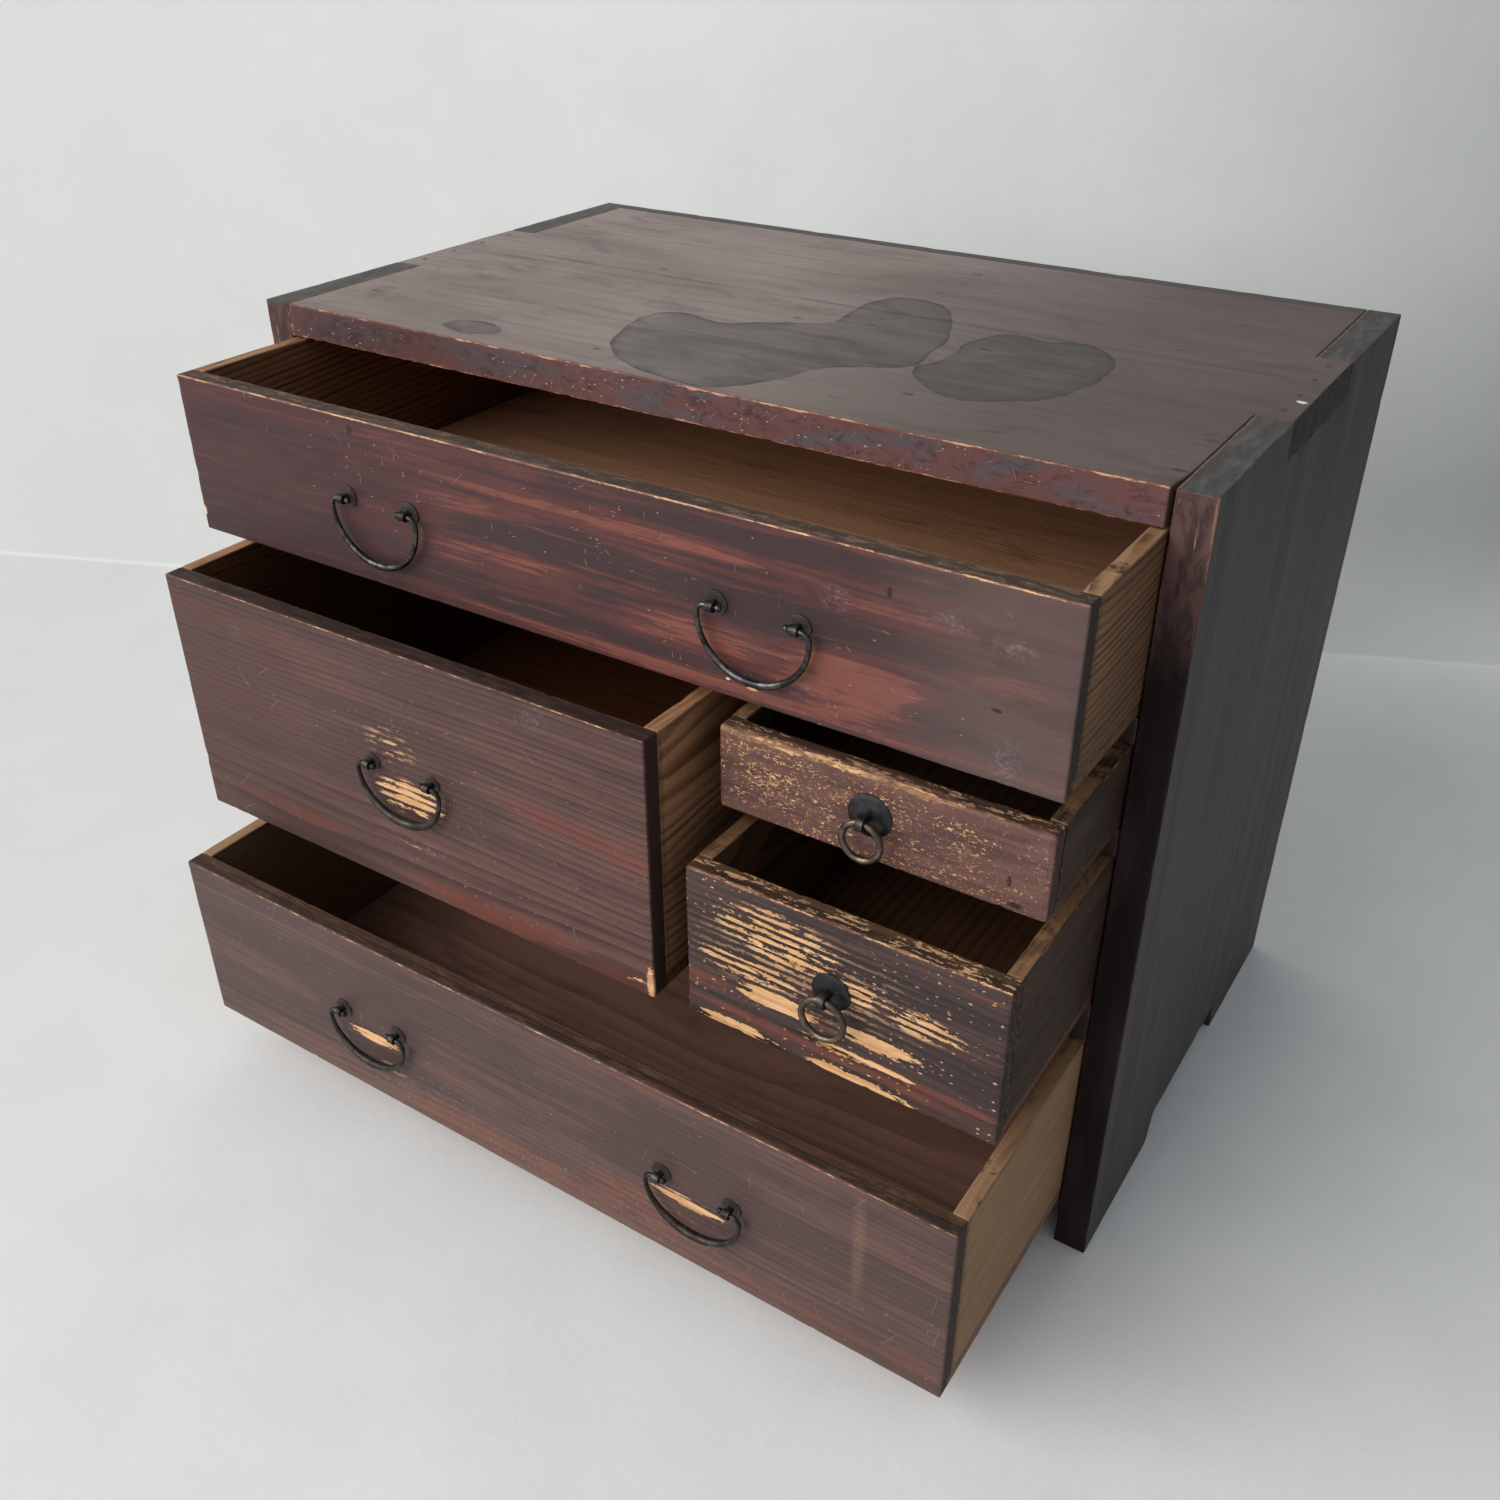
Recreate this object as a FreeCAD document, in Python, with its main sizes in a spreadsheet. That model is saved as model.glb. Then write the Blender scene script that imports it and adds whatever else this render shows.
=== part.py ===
import FreeCAD, Part
import math
import os
import re

# A small chest of drawers: a finger-jointed board carcass with five drawers,
# shown partly pulled out. Two full-width drawers and one wide one carry iron
# bails, two small ones carry iron rings. X is across, -Y is the front, Z is up.

os.makedirs("parts", exist_ok=True)
doc = FreeCAD.newDocument("chest")
sheet = doc.addObject("Spreadsheet::Sheet", "Sizes")

# Carcass boards, from the floor up.
carcass_width = 606
carcass_depth = 351
board_side = 20
foot_height = 22
bottom_thick = 13
opening_bottom = 128
shelf_lower_thick = 29
opening_small_lower = 99
shelf_small_thick = 17
opening_small_upper = 51
shelf_upper_thick = 15
opening_top = 98
board_top = 20
back_thick = 11
back_seam = 246
divider_thick = 19
divider_left = 80
notch_length = 131
notch_slope = 4

# Stopped grooves that hold the shelves and the divider.
housing = 6
divider_housing = 4
housing_stop = 25

# Drawer boards and their clearance in the carcass.
drawer_gap_side = 1
drawer_gap_below = 0.6
drawer_gap_above = 0.9
drawer_gap_back = 8
front_thick = 12.5
drawer_side_thick = 9
drawer_back_thick = 9
drawer_bottom_thick = 7
front_rebate = 5

# How far each drawer stands open.
open_top = 90
open_middle = 127
open_small_upper = 92
open_small_lower = 124
open_bottom = 159

# Wooden pegs in the drawers and iron nails in the carcass.
peg_dia = 2.6
peg_grip = 14
peg_fit = 0.03
nail_dia = 3
nail_grip = 22
nail_fit = 0.03

# Iron bails: eye pins, washers and the swinging bar.
handle_reach_top = 124
handle_reach_bottom = 125.5
handle_shift_top = -2
handle_shift_middle = 5
handle_shift_small = -2.8
handle_shift_bottom = 1.5
handle_rise_top = 1.5
handle_rise_middle = 4
handle_rise_bottom = 1
handle_rise_small_upper = 2
handle_rise_small_lower = 6
post_span = 47
bail_bulge = 9.5
bail_drop = 37
bail_drop_low = 35
bail_mid_dia = 4.2
bail_mid_dia_low = 5.4
bail_end_dia = 2.6
bail_bend = 5
bail_knob_dia = 3.8
bail_knob_gap = 0.4
bail_standoff = 5
bail_fit = 0.08
eye_dia = 5.6
eye_length = 4.2
shank_dia = 3.6
pin_fit = 0.05
leg_width = 3
leg_thick = 1
leg_reach = 9
washer_dia = 13.2
washer_dia_middle = 10.6
washer_thick = 1

# Iron rings on domed plates.
dome_dia_upper = 24
dome_dia_lower = 22
dome_rise = 2.6
dome_rim = 0.7
ring_dia_upper = 24.8
ring_dia_lower = 27.8
ring_wire = 3.6
ring_standoff = 8.5
ring_eye_dia = 8.2
ring_eye_length = 4
ring_eye_hole = 4.6

# Extra length of a cutting tool beyond the face that it starts from.
tool_lead = 1

# How many nails, pegs and loft sections there are.
NAILS_PER_TONGUE = 4
NAILS_PER_BACK_ROW = 4
BOTTOM_PEGS_PER_SIDE = 3
PEGS_PER_LOW_BACK = 2
PEGS_PER_MEDIUM_BACK = 3
PEGS_PER_TALL_BACK = 4
BAIL_SECTIONS = 17

# Each size above goes into the sheet under its own name.
named_values = list(globals().items())
size_names = [name for name, value in named_values if isinstance(value, (int, float)) and name.islower()]
for row, name in enumerate(size_names, 1):
    sheet.set(f"A{row}", name)
    sheet.set(f"B{row}", str(globals()[name]))
    sheet.setAlias(f"B{row}", name)

# Carcass planes as formulas of the sheet. The middle of the whole box at rest,
# from the back to the foremost eye, lies at y = 0.
INNER = "(carcass_width / 2 - board_side)"
REACH = (
    "max(max(open_top; open_middle; open_bottom) + bail_standoff + eye_dia / 2;"
    " max(open_small_upper; open_small_lower) + ring_standoff + ring_eye_dia / 2)"
)
FRONT = f"(({REACH} - carcass_depth) / 2)"
BACK = f"({FRONT} + carcass_depth)"
BOARD_DEPTH = "(carcass_depth - back_thick)"
GROOVE_FRONT = f"({FRONT} + housing_stop)"
GROOVE_DEPTH = f"({BOARD_DEPTH} - housing_stop)"
FINGER_FRONT = f"({FRONT} + carcass_depth / 3)"
FINGER_DEPTH = "(carcass_depth / 3)"

FLOOR_BOTTOM = "(foot_height + bottom_thick)"
CEILING_BOTTOM = f"({FLOOR_BOTTOM} + opening_bottom)"
FLOOR_MIDDLE = f"({CEILING_BOTTOM} + shelf_lower_thick)"
CEILING_SMALL_LOWER = f"({FLOOR_MIDDLE} + opening_small_lower)"
FLOOR_SMALL_UPPER = f"({CEILING_SMALL_LOWER} + shelf_small_thick)"
CEILING_MIDDLE = f"({FLOOR_SMALL_UPPER} + opening_small_upper)"
FLOOR_TOP = f"({CEILING_MIDDLE} + shelf_upper_thick)"
CEILING_TOP = f"({FLOOR_TOP} + opening_top)"
HEIGHT = f"({CEILING_TOP} + board_top)"

DIVIDER_RIGHT = "(divider_left + divider_thick)"
NAIL_RADIUS = "nail_dia / 2"
PEG_RADIUS = "peg_dia / 2"
SHANK_RADIUS = "shank_dia / 2"

X = FreeCAD.Vector(1, 0, 0)
Y = FreeCAD.Vector(0, 1, 0)
CENTRE = FreeCAD.Vector(0, 0, 0)
TURNS = {
    "x": FreeCAD.Rotation(Y, 90),
    "-x": FreeCAD.Rotation(Y, -90),
    "y": FreeCAD.Rotation(X, -90),
    "-y": FreeCAD.Rotation(X, 90),
    "z": FreeCAD.Rotation(),
    "-z": FreeCAD.Rotation(X, 180),
}

pieces = []


def in_sheet(formula):
    """Point each size name in a formula at its cell."""
    def cell(word):
        return f"Sizes.{word.group()}" if word.group() in size_names else word.group()
    return re.sub(r"[a-z][a-z_]*", cell, formula)


def number(name):
    return float(sheet.get(name))


def bind(item, **formulas):
    for prop, formula in formulas.items():
        item.setExpression(prop, in_sheet(formula))
    return item


def place(item, x, y, z):
    item.setExpression("Placement.Base.x", in_sheet(x))
    item.setExpression("Placement.Base.y", in_sheet(y))
    item.setExpression("Placement.Base.z", in_sheet(z))
    return item


def box(name, x, y, z, along_x, along_y, along_z):
    item = doc.addObject("Part::Box", name)
    bind(item, Length=along_x, Width=along_y, Height=along_z)
    return place(item, x, y, z)


def rod(name, x, y, z, axis, radius, length):
    """A round bar that starts at x, y, z and runs along the named axis."""
    item = doc.addObject("Part::Cylinder", name)
    item.Placement = FreeCAD.Placement(CENTRE, TURNS[axis])
    bind(item, Radius=radius, Height=length)
    return place(item, x, y, z)


def fuse(name, shapes):
    item = doc.addObject("Part::MultiFuse", name)
    item.Shapes = shapes
    item.Refine = True
    return item


def cut(name, base, tools):
    """The base less its tools, which may lie across each other."""
    item = doc.addObject("Part::Cut", name)
    item.Base = base
    item.Tool = fuse(name + "_tools", tools) if len(tools) > 1 else tools[0]
    return item


def group(name, shapes):
    item = doc.addObject("Part::Compound", name)
    item.Links = shapes
    return item


def piece(name, item):
    """Mark a finished sub-part and give it its own label."""
    item.Label = name
    pieces.append(item)


# Nails are driven down through the top board's fingers into the side boards,
# and from behind through the back boards into the shelves.
nails = []
tongue_bores = {"left": [], "right": []}
back_bores = {"bottom": [], "lower": [], "upper": [], "top": []}

for side, sign in (("left", "-"), ("right", "")):
    for count in range(NAILS_PER_TONGUE):
        name = f"tongue_nail_{side}_{count}"
        x = f"{sign}(carcass_width / 2 - board_side / 2)"
        y = f"{FINGER_FRONT} + {FINGER_DEPTH} * {(count + 0.5) / NAILS_PER_TONGUE}"
        deep = "board_top + nail_grip"
        nails.append(rod(name, x, y, HEIGHT, "-z", NAIL_RADIUS, deep))
        tongue_bores[side].append(rod(
            name + "_bore", x, y, f"{HEIGHT} + tool_lead", "-z",
            f"{NAIL_RADIUS} + nail_fit", f"{deep} + tool_lead"))

back_rows = {
    "bottom": "(foot_height + bottom_thick / 2)",
    "lower": f"({CEILING_BOTTOM} + shelf_lower_thick / 2)",
    "upper": f"({CEILING_MIDDLE} + shelf_upper_thick / 2)",
    "top": f"({CEILING_TOP} + board_top / 2)",
}
for row, z in back_rows.items():
    for count in range(NAILS_PER_BACK_ROW):
        name = f"back_nail_{row}_{count}"
        x = f"2 * {INNER} * {(count + 0.5) / NAILS_PER_BACK_ROW - 0.5}"
        deep = "back_thick + nail_grip"
        nails.append(rod(name, x, BACK, z, "-y", NAIL_RADIUS, deep))
        back_bores[row].append(rod(
            name + "_bore", x, f"{BACK} + tool_lead", z, "-y",
            f"{NAIL_RADIUS} + nail_fit", f"{deep} + tool_lead"))
piece("carcass_nails", group("carcass_nails", nails))

# The top board lies between the sides, and its middle finger runs out over them.
top = fuse("top_blank", [
    box("top_field", f"-{INNER}", FRONT, CEILING_TOP, f"2 * {INNER}", BOARD_DEPTH, "board_top"),
    box("top_finger", "-carcass_width / 2", FINGER_FRONT, CEILING_TOP,
        "carcass_width", FINGER_DEPTH, "board_top"),
])
top_tools = tongue_bores["left"] + tongue_bores["right"] + back_bores["top"]
piece("top_board", cut("top_board", top, top_tools))


def foot_notch(name, x):
    """The gap between a side board's two feet, with slightly sloped ends."""
    item = doc.addObject("Part::Wedge", name)
    item.Placement = FreeCAD.Placement(CENTRE, TURNS["-y"])
    bind(
        item, Xmin="0", Xmax="board_side + 2 * tool_lead", X2min="0", X2max="board_side + 2 * tool_lead",
        Ymin="-tool_lead", Ymax="foot_height", Zmin="0", Zmax="notch_length",
        Z2min="notch_slope", Z2max="notch_length - notch_slope")
    return place(item, f"{x} - tool_lead", f"{FRONT} + (carcass_depth + notch_length) / 2", "0")


def shelf_groove(name, x, z, thick):
    return box(name, x, GROOVE_FRONT, z, "housing", GROOVE_DEPTH, thick)


# Side boards stand full height at the front and back thirds, drop under the
# top's finger in the middle third, and are grooved inside for the shelves.
for side in ("left", "right"):
    name = f"side_board_{side}"
    outer = "-carcass_width / 2" if side == "left" else INNER
    groove = f"-{INNER} - housing" if side == "left" else INNER
    blank = box(name + "_blank", outer, FRONT, "0", "board_side", "carcass_depth", HEIGHT)
    tools = [
        box(name + "_finger_seat", f"{outer} - tool_lead", FINGER_FRONT, CEILING_TOP,
            "board_side + 2 * tool_lead", FINGER_DEPTH, "board_top + tool_lead"),
        foot_notch(name + "_notch", outer),
        shelf_groove(name + "_bottom_groove", groove, "foot_height", "bottom_thick"),
        shelf_groove(name + "_lower_groove", groove, CEILING_BOTTOM, "shelf_lower_thick"),
        shelf_groove(name + "_upper_groove", groove, CEILING_MIDDLE, "shelf_upper_thick"),
    ]
    if side == "right":
        tools.append(shelf_groove(name + "_small_groove", groove, CEILING_SMALL_LOWER, "shelf_small_thick"))
    piece(name, cut(name, blank, tools + tongue_bores[side]))

# Two back boards fit between the sides, one above the other.
for part, low, high, rows in (
    ("lower", "foot_height", "back_seam", ("bottom", "lower")),
    ("upper", "back_seam", HEIGHT, ("upper", "top")),
):
    name = f"back_board_{part}"
    blank = box(name + "_blank", f"-{INNER}", f"{BACK} - back_thick", low,
                f"2 * {INNER}", "back_thick", f"{high} - {low}")
    piece(name, cut(name, blank, back_bores[rows[0]] + back_bores[rows[1]]))


def shelf(name, z, thick, tools):
    """A full-width board with its ends let into the side boards."""
    blank = fuse(name + "_blank", [
        box(name + "_field", f"-{INNER}", FRONT, z, f"2 * {INNER}", BOARD_DEPTH, thick),
        box(name + "_ends", f"-{INNER} - housing", GROOVE_FRONT, z,
            f"2 * ({INNER} + housing)", GROOVE_DEPTH, thick),
    ])
    piece(name, cut(name, blank, tools))


def divider_groove(name, z):
    return box(name, "divider_left", GROOVE_FRONT, z, "divider_thick", GROOVE_DEPTH, "divider_housing")


shelf("bottom_board", "foot_height", "bottom_thick", back_bores["bottom"])
lower_groove = divider_groove("divider_lower_groove", f"{FLOOR_MIDDLE} - divider_housing")
upper_groove = divider_groove("divider_upper_groove", CEILING_MIDDLE)
shelf("shelf_lower", CEILING_BOTTOM, "shelf_lower_thick", back_bores["lower"] + [lower_groove])
shelf("shelf_upper", CEILING_MIDDLE, "shelf_upper_thick", back_bores["upper"] + [upper_groove])

# The upright divider and the short shelf between it and the right side.
divider = fuse("divider_blank", [
    box("divider_field", "divider_left", FRONT, FLOOR_MIDDLE,
        "divider_thick", BOARD_DEPTH, f"{CEILING_MIDDLE} - {FLOOR_MIDDLE}"),
    box("divider_ends", "divider_left", GROOVE_FRONT, f"{FLOOR_MIDDLE} - divider_housing",
        "divider_thick", GROOVE_DEPTH, f"{CEILING_MIDDLE} - {FLOOR_MIDDLE} + 2 * divider_housing"),
])
divider_slot = box("divider_slot", f"{DIVIDER_RIGHT} - divider_housing", GROOVE_FRONT, CEILING_SMALL_LOWER,
                   "divider_housing", GROOVE_DEPTH, "shelf_small_thick")
piece("divider", cut("divider", divider, [divider_slot]))
piece("shelf_small", fuse("shelf_small", [
    box("small_field", DIVIDER_RIGHT, FRONT, CEILING_SMALL_LOWER,
        f"{INNER} - {DIVIDER_RIGHT}", BOARD_DEPTH, "shelf_small_thick"),
    box("small_ends", f"{DIVIDER_RIGHT} - divider_housing", GROOVE_FRONT, CEILING_SMALL_LOWER,
        f"{INNER} - {DIVIDER_RIGHT} + divider_housing + housing", GROOVE_DEPTH, "shelf_small_thick"),
]))


def eye_pin(name, x, y, z, standoff, dia, length, hole):
    """A split pin with an eye, its two legs clinched flat behind the front."""
    blank = fuse(name + "_blank", [
        rod(name + "_shank", x, f"{y} - {standoff}", z, "y", SHANK_RADIUS,
            f"{standoff} + front_thick + leg_thick"),
        rod(name + "_eye", f"{x} - {length} / 2", f"{y} - {standoff}", z, "x", f"{dia} / 2", length),
        box(name + "_legs", f"{x} - leg_width / 2", f"{y} + front_thick", f"{z} - leg_reach",
            "leg_width", "leg_thick", "2 * leg_reach"),
    ])
    eye = rod(name + "_hole", f"{x} - {length} / 2 - tool_lead", f"{y} - {standoff}", z, "x",
              f"{hole} / 2", f"{length} + 2 * tool_lead")
    return cut(name, blank, [eye])


def pin_bore(name, x, y, z):
    return rod(name, x, f"{y} - tool_lead - dome_rise - dome_rim", z, "y", f"{SHANK_RADIUS} + pin_fit",
               "front_thick + dome_rise + dome_rim + 2 * tool_lead")


def flat_washer(name, x, y, z, dia):
    disc = rod(name + "_disc", x, y, z, "-y", f"{dia} / 2", "washer_thick")
    return cut(name, disc, [pin_bore(name + "_bore", x, y, z)])


def domed_plate(name, x, y, z, dia):
    """A round plate with a low dome and a thin rim."""
    ball_radius = f"((({dia}) / 2)^2 + dome_rise^2) / (2 * dome_rise)"
    ball = doc.addObject("Part::Sphere", name + "_ball")
    bind(ball, Radius=ball_radius)
    place(ball, x, f"{y} + {ball_radius} - dome_rise - dome_rim", z)
    dome = doc.addObject("Part::Common", name + "_dome")
    dome.Base = rod(name + "_disc", x, y, z, "-y", f"{dia} / 2", "dome_rise + dome_rim + tool_lead")
    dome.Tool = ball
    return cut(name, dome, [pin_bore(name + "_bore", x, y, z)])


def bail_shape(drop, mid_dia):
    """A crescent bar that swells to the middle; its ends turn in through the eyes to small knobs."""
    thin = number("bail_end_dia") / 2
    thick = mid_dia / 2
    bend = number("bail_bend")
    half = number("post_span") / 2 + number("bail_bulge") - thin
    fall = drop - thick - bend
    knob = number("bail_knob_dia") / 2
    inner_end = number("post_span") / 2 - number("eye_length") / 2 - number("bail_knob_gap") - knob

    stub = Part.makeCylinder(thin, half - bend - inner_end, FreeCAD.Vector(inner_end, 0, 0), X)
    ball = Part.makeSphere(knob, FreeCAD.Vector(inner_end, 0, 0))
    disc = Part.Face(Part.Wire(Part.makeCircle(thin, FreeCAD.Vector(half - bend, 0, 0), X)))
    elbow = disc.revolve(FreeCAD.Vector(half - bend, 0, -bend), Y, 90)
    end = stub.fuse([ball, elbow])

    sections = []
    for count in range(BAIL_SECTIONS):
        turn = math.pi * count / (BAIL_SECTIONS - 1)
        heading = math.atan2(fall * math.cos(turn), -half * math.sin(turn))
        ring = Part.makeCircle(thin + (thick - thin) * math.sin(turn) ** 2, CENTRE, X)
        ring.rotate(CENTRE, Y, math.degrees(heading) % 360)
        ring.translate(FreeCAD.Vector(half * math.cos(turn), 0, -bend - fall * math.sin(turn)))
        sections.append(Part.Wire(ring))
    crescent = Part.makeLoft(sections, True)
    return crescent.fuse([end, end.mirror(CENTRE, X)]).removeSplitter()


def bail(name, x, y, z, drop, mid_dia):
    item = doc.addObject("Part::Feature", name)
    item.Shape = bail_shape(number(drop), number(mid_dia))
    piece(name, place(item, x, f"{y} - bail_standoff", z))


def ring(name, x, y, z, dia):
    item = doc.addObject("Part::Torus", name)
    item.Placement = FreeCAD.Placement(CENTRE, TURNS["-y"])
    bind(item, Radius1=f"({dia} - ring_wire) / 2", Radius2="ring_wire / 2")
    piece(name, place(item, x, f"{y} - ring_standoff", f"{z} - ({dia} - ring_wire) / 2"))


def drawer(name, left, right, floor, ceiling, opened, rise, shift, back_pegs, bails, plate):
    """Five boards, their pegs and the pull: the bottom runs under the sides and into the front."""
    x = f"({left} + drawer_gap_side)"
    wide = f"({right} - {left} - 2 * drawer_gap_side)"
    y = f"({FRONT} - {opened})"
    long = "(carcass_depth - back_thick - drawer_gap_back)"
    z = f"({floor} + drawer_gap_below)"
    tall = f"({ceiling} - {floor} - drawer_gap_below - drawer_gap_above)"
    behind = f"({y} + front_thick)"
    end = f"({y} + {long})"
    wall_z = f"({z} + drawer_bottom_thick)"
    wall_tall = f"({tall} - drawer_bottom_thick)"
    pull_z = f"({z} + {tall} / 2 + {rise})"

    pegs = []
    bores = {"left": [], "right": []}
    under_bores = {"left": [], "right": []}
    for side in ("left", "right"):
        face = x if side == "left" else f"({x} + {wide})"
        axis = "x" if side == "left" else "-x"
        outward = "-" if side == "left" else "+"
        inward = "+" if side == "left" else "-"
        for count in range(back_pegs):
            peg = f"{name}_back_peg_{side}_{count}"
            peg_y = f"{end} - drawer_back_thick / 2"
            peg_z = f"{wall_z} + {wall_tall} * {(count + 0.5) / back_pegs}"
            deep = "drawer_side_thick + peg_grip"
            pegs.append(rod(peg, face, peg_y, peg_z, axis, PEG_RADIUS, deep))
            bores[side].append(rod(
                peg + "_bore", f"{face} {outward} tool_lead", peg_y, peg_z, axis,
                f"{PEG_RADIUS} + peg_fit", f"{deep} + tool_lead"))
        for count in range(BOTTOM_PEGS_PER_SIDE):
            peg = f"{name}_bottom_peg_{side}_{count}"
            peg_x = f"{face} {inward} drawer_side_thick / 2"
            peg_y = f"{behind} + ({long} - front_thick) * {(count + 0.5) / BOTTOM_PEGS_PER_SIDE}"
            deep = "drawer_bottom_thick + peg_grip"
            pegs.append(rod(peg, peg_x, peg_y, z, "z", PEG_RADIUS, deep))
            under_bores[side].append(rod(
                peg + "_bore", peg_x, peg_y, f"{z} - tool_lead", "z",
                f"{PEG_RADIUS} + peg_fit", f"{deep} + tool_lead"))
    piece(f"{name}_pegs", group(f"{name}_pegs", pegs))

    middle = f"({x} + {wide} / 2 + {shift})"
    centres = [middle] if len(bails) < 2 else [f"({middle} {sign} {bails[0][1]})" for sign in "-+"]
    pins = []
    washers = []
    front_bores = []
    for index, centre in enumerate(centres):
        posts = [f"({centre} - post_span / 2)", f"({centre} + post_span / 2)"] if bails else [centre]
        for count, post in enumerate(posts):
            label = f"{name}_{index}_{count}"
            front_bores.append(pin_bore(label + "_front_bore", post, y, pull_z))
            if bails:
                pins.append(eye_pin(label + "_pin", post, y, pull_z, "bail_standoff", "eye_dia",
                                    "eye_length", "(bail_end_dia + 2 * bail_fit)"))
                washers.append(flat_washer(label + "_washer", post, y, pull_z, plate))
            else:
                pins.append(eye_pin(label + "_pin", post, y, pull_z, "ring_standoff", "ring_eye_dia",
                                    "ring_eye_length", "ring_eye_hole"))
                washers.append(domed_plate(label + "_plate", post, y, pull_z, plate[1]))
        if bails:
            bail(bails[index][0], centre, y, pull_z, bails[index][2], bails[index][3])
        else:
            ring(plate[0], centre, y, pull_z, plate[2])
    piece(f"{name}_eye_pins", group(f"{name}_eye_pins", pins))
    piece(f"{name}_washers", group(f"{name}_washers", washers))

    blank = box(f"{name}_front_blank", x, y, z, wide, "front_thick", tall)
    rebate = box(f"{name}_front_rebate", f"{x} - tool_lead", f"{behind} - front_rebate", f"{z} - tool_lead",
                 f"{wide} + 2 * tool_lead", "front_rebate + tool_lead", "drawer_bottom_thick + tool_lead")
    piece(f"{name}_front", cut(f"{name}_front", blank, front_bores + [rebate]))

    for side in ("left", "right"):
        side_x = x if side == "left" else f"({x} + {wide} - drawer_side_thick)"
        blank = box(f"{name}_side_{side}_blank", side_x, behind, wall_z,
                    "drawer_side_thick", f"{long} - front_thick", wall_tall)
        piece(f"{name}_side_{side}", cut(f"{name}_side_{side}", blank, bores[side] + under_bores[side]))

    blank = box(f"{name}_back_blank", f"{x} + drawer_side_thick", f"{end} - drawer_back_thick", wall_z,
                f"{wide} - 2 * drawer_side_thick", "drawer_back_thick", wall_tall)
    piece(f"{name}_back", cut(f"{name}_back", blank, bores["left"] + bores["right"]))

    blank = box(f"{name}_bottom_blank", x, f"{behind} - front_rebate", z,
                wide, f"{long} - front_thick + front_rebate", "drawer_bottom_thick")
    piece(f"{name}_bottom", cut(f"{name}_bottom", blank, under_bores["left"] + under_bores["right"]))


# The sheet is worked out before the bails read their sizes from it.
doc.recompute()

drawer("drawer_top", f"(-{INNER})", INNER, FLOOR_TOP, CEILING_TOP, "open_top", "handle_rise_top",
       "handle_shift_top", PEGS_PER_MEDIUM_BACK,
       [("bail_top_left", "handle_reach_top", "bail_drop", "bail_mid_dia"),
        ("bail_top_right", "handle_reach_top", "bail_drop", "bail_mid_dia")], "washer_dia")
drawer("drawer_middle", f"(-{INNER})", "divider_left", FLOOR_MIDDLE, CEILING_MIDDLE,
       "open_middle", "handle_rise_middle", "handle_shift_middle", PEGS_PER_TALL_BACK,
       [("bail_middle", None, "bail_drop_low", "bail_mid_dia_low")], "washer_dia_middle")
drawer("drawer_small_upper", DIVIDER_RIGHT, INNER, FLOOR_SMALL_UPPER, CEILING_MIDDLE,
       "open_small_upper", "handle_rise_small_upper", "handle_shift_small", PEGS_PER_LOW_BACK, [],
       ("ring_small_upper", "dome_dia_upper", "ring_dia_upper"))
drawer("drawer_small_lower", DIVIDER_RIGHT, INNER, FLOOR_MIDDLE, CEILING_SMALL_LOWER,
       "open_small_lower", "handle_rise_small_lower", "handle_shift_small", PEGS_PER_MEDIUM_BACK, [],
       ("ring_small_lower", "dome_dia_lower", "ring_dia_lower"))
drawer("drawer_bottom", f"(-{INNER})", INNER, FLOOR_BOTTOM, CEILING_BOTTOM,
       "open_bottom", "handle_rise_bottom", "handle_shift_bottom", PEGS_PER_MEDIUM_BACK,
       [("bail_bottom_left", "handle_reach_bottom", "bail_drop_low", "bail_mid_dia_low"),
        ("bail_bottom_right", "handle_reach_bottom", "bail_drop_low", "bail_mid_dia_low")], "washer_dia")

doc.recompute()

for item in doc.Objects:
    if "Invalid" in item.State or "Error" in item.State:
        raise RuntimeError(f"{item.Name} did not rebuild: {item.State}")
for item in pieces:
    if item.Shape.isNull() or not item.Shape.isValid() or not item.Shape.Solids:
        raise RuntimeError(f"{item.Label} has no valid solid")
for item in pieces:
    item.Shape.exportStep(f"parts/{item.Label}.step")
    print(item.Label, len(item.Shape.Solids), round(item.Shape.Volume / 1000, 3), "cm3")
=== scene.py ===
import math

import bmesh
import bpy
from mathutils import Matrix, Vector, noise


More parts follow.
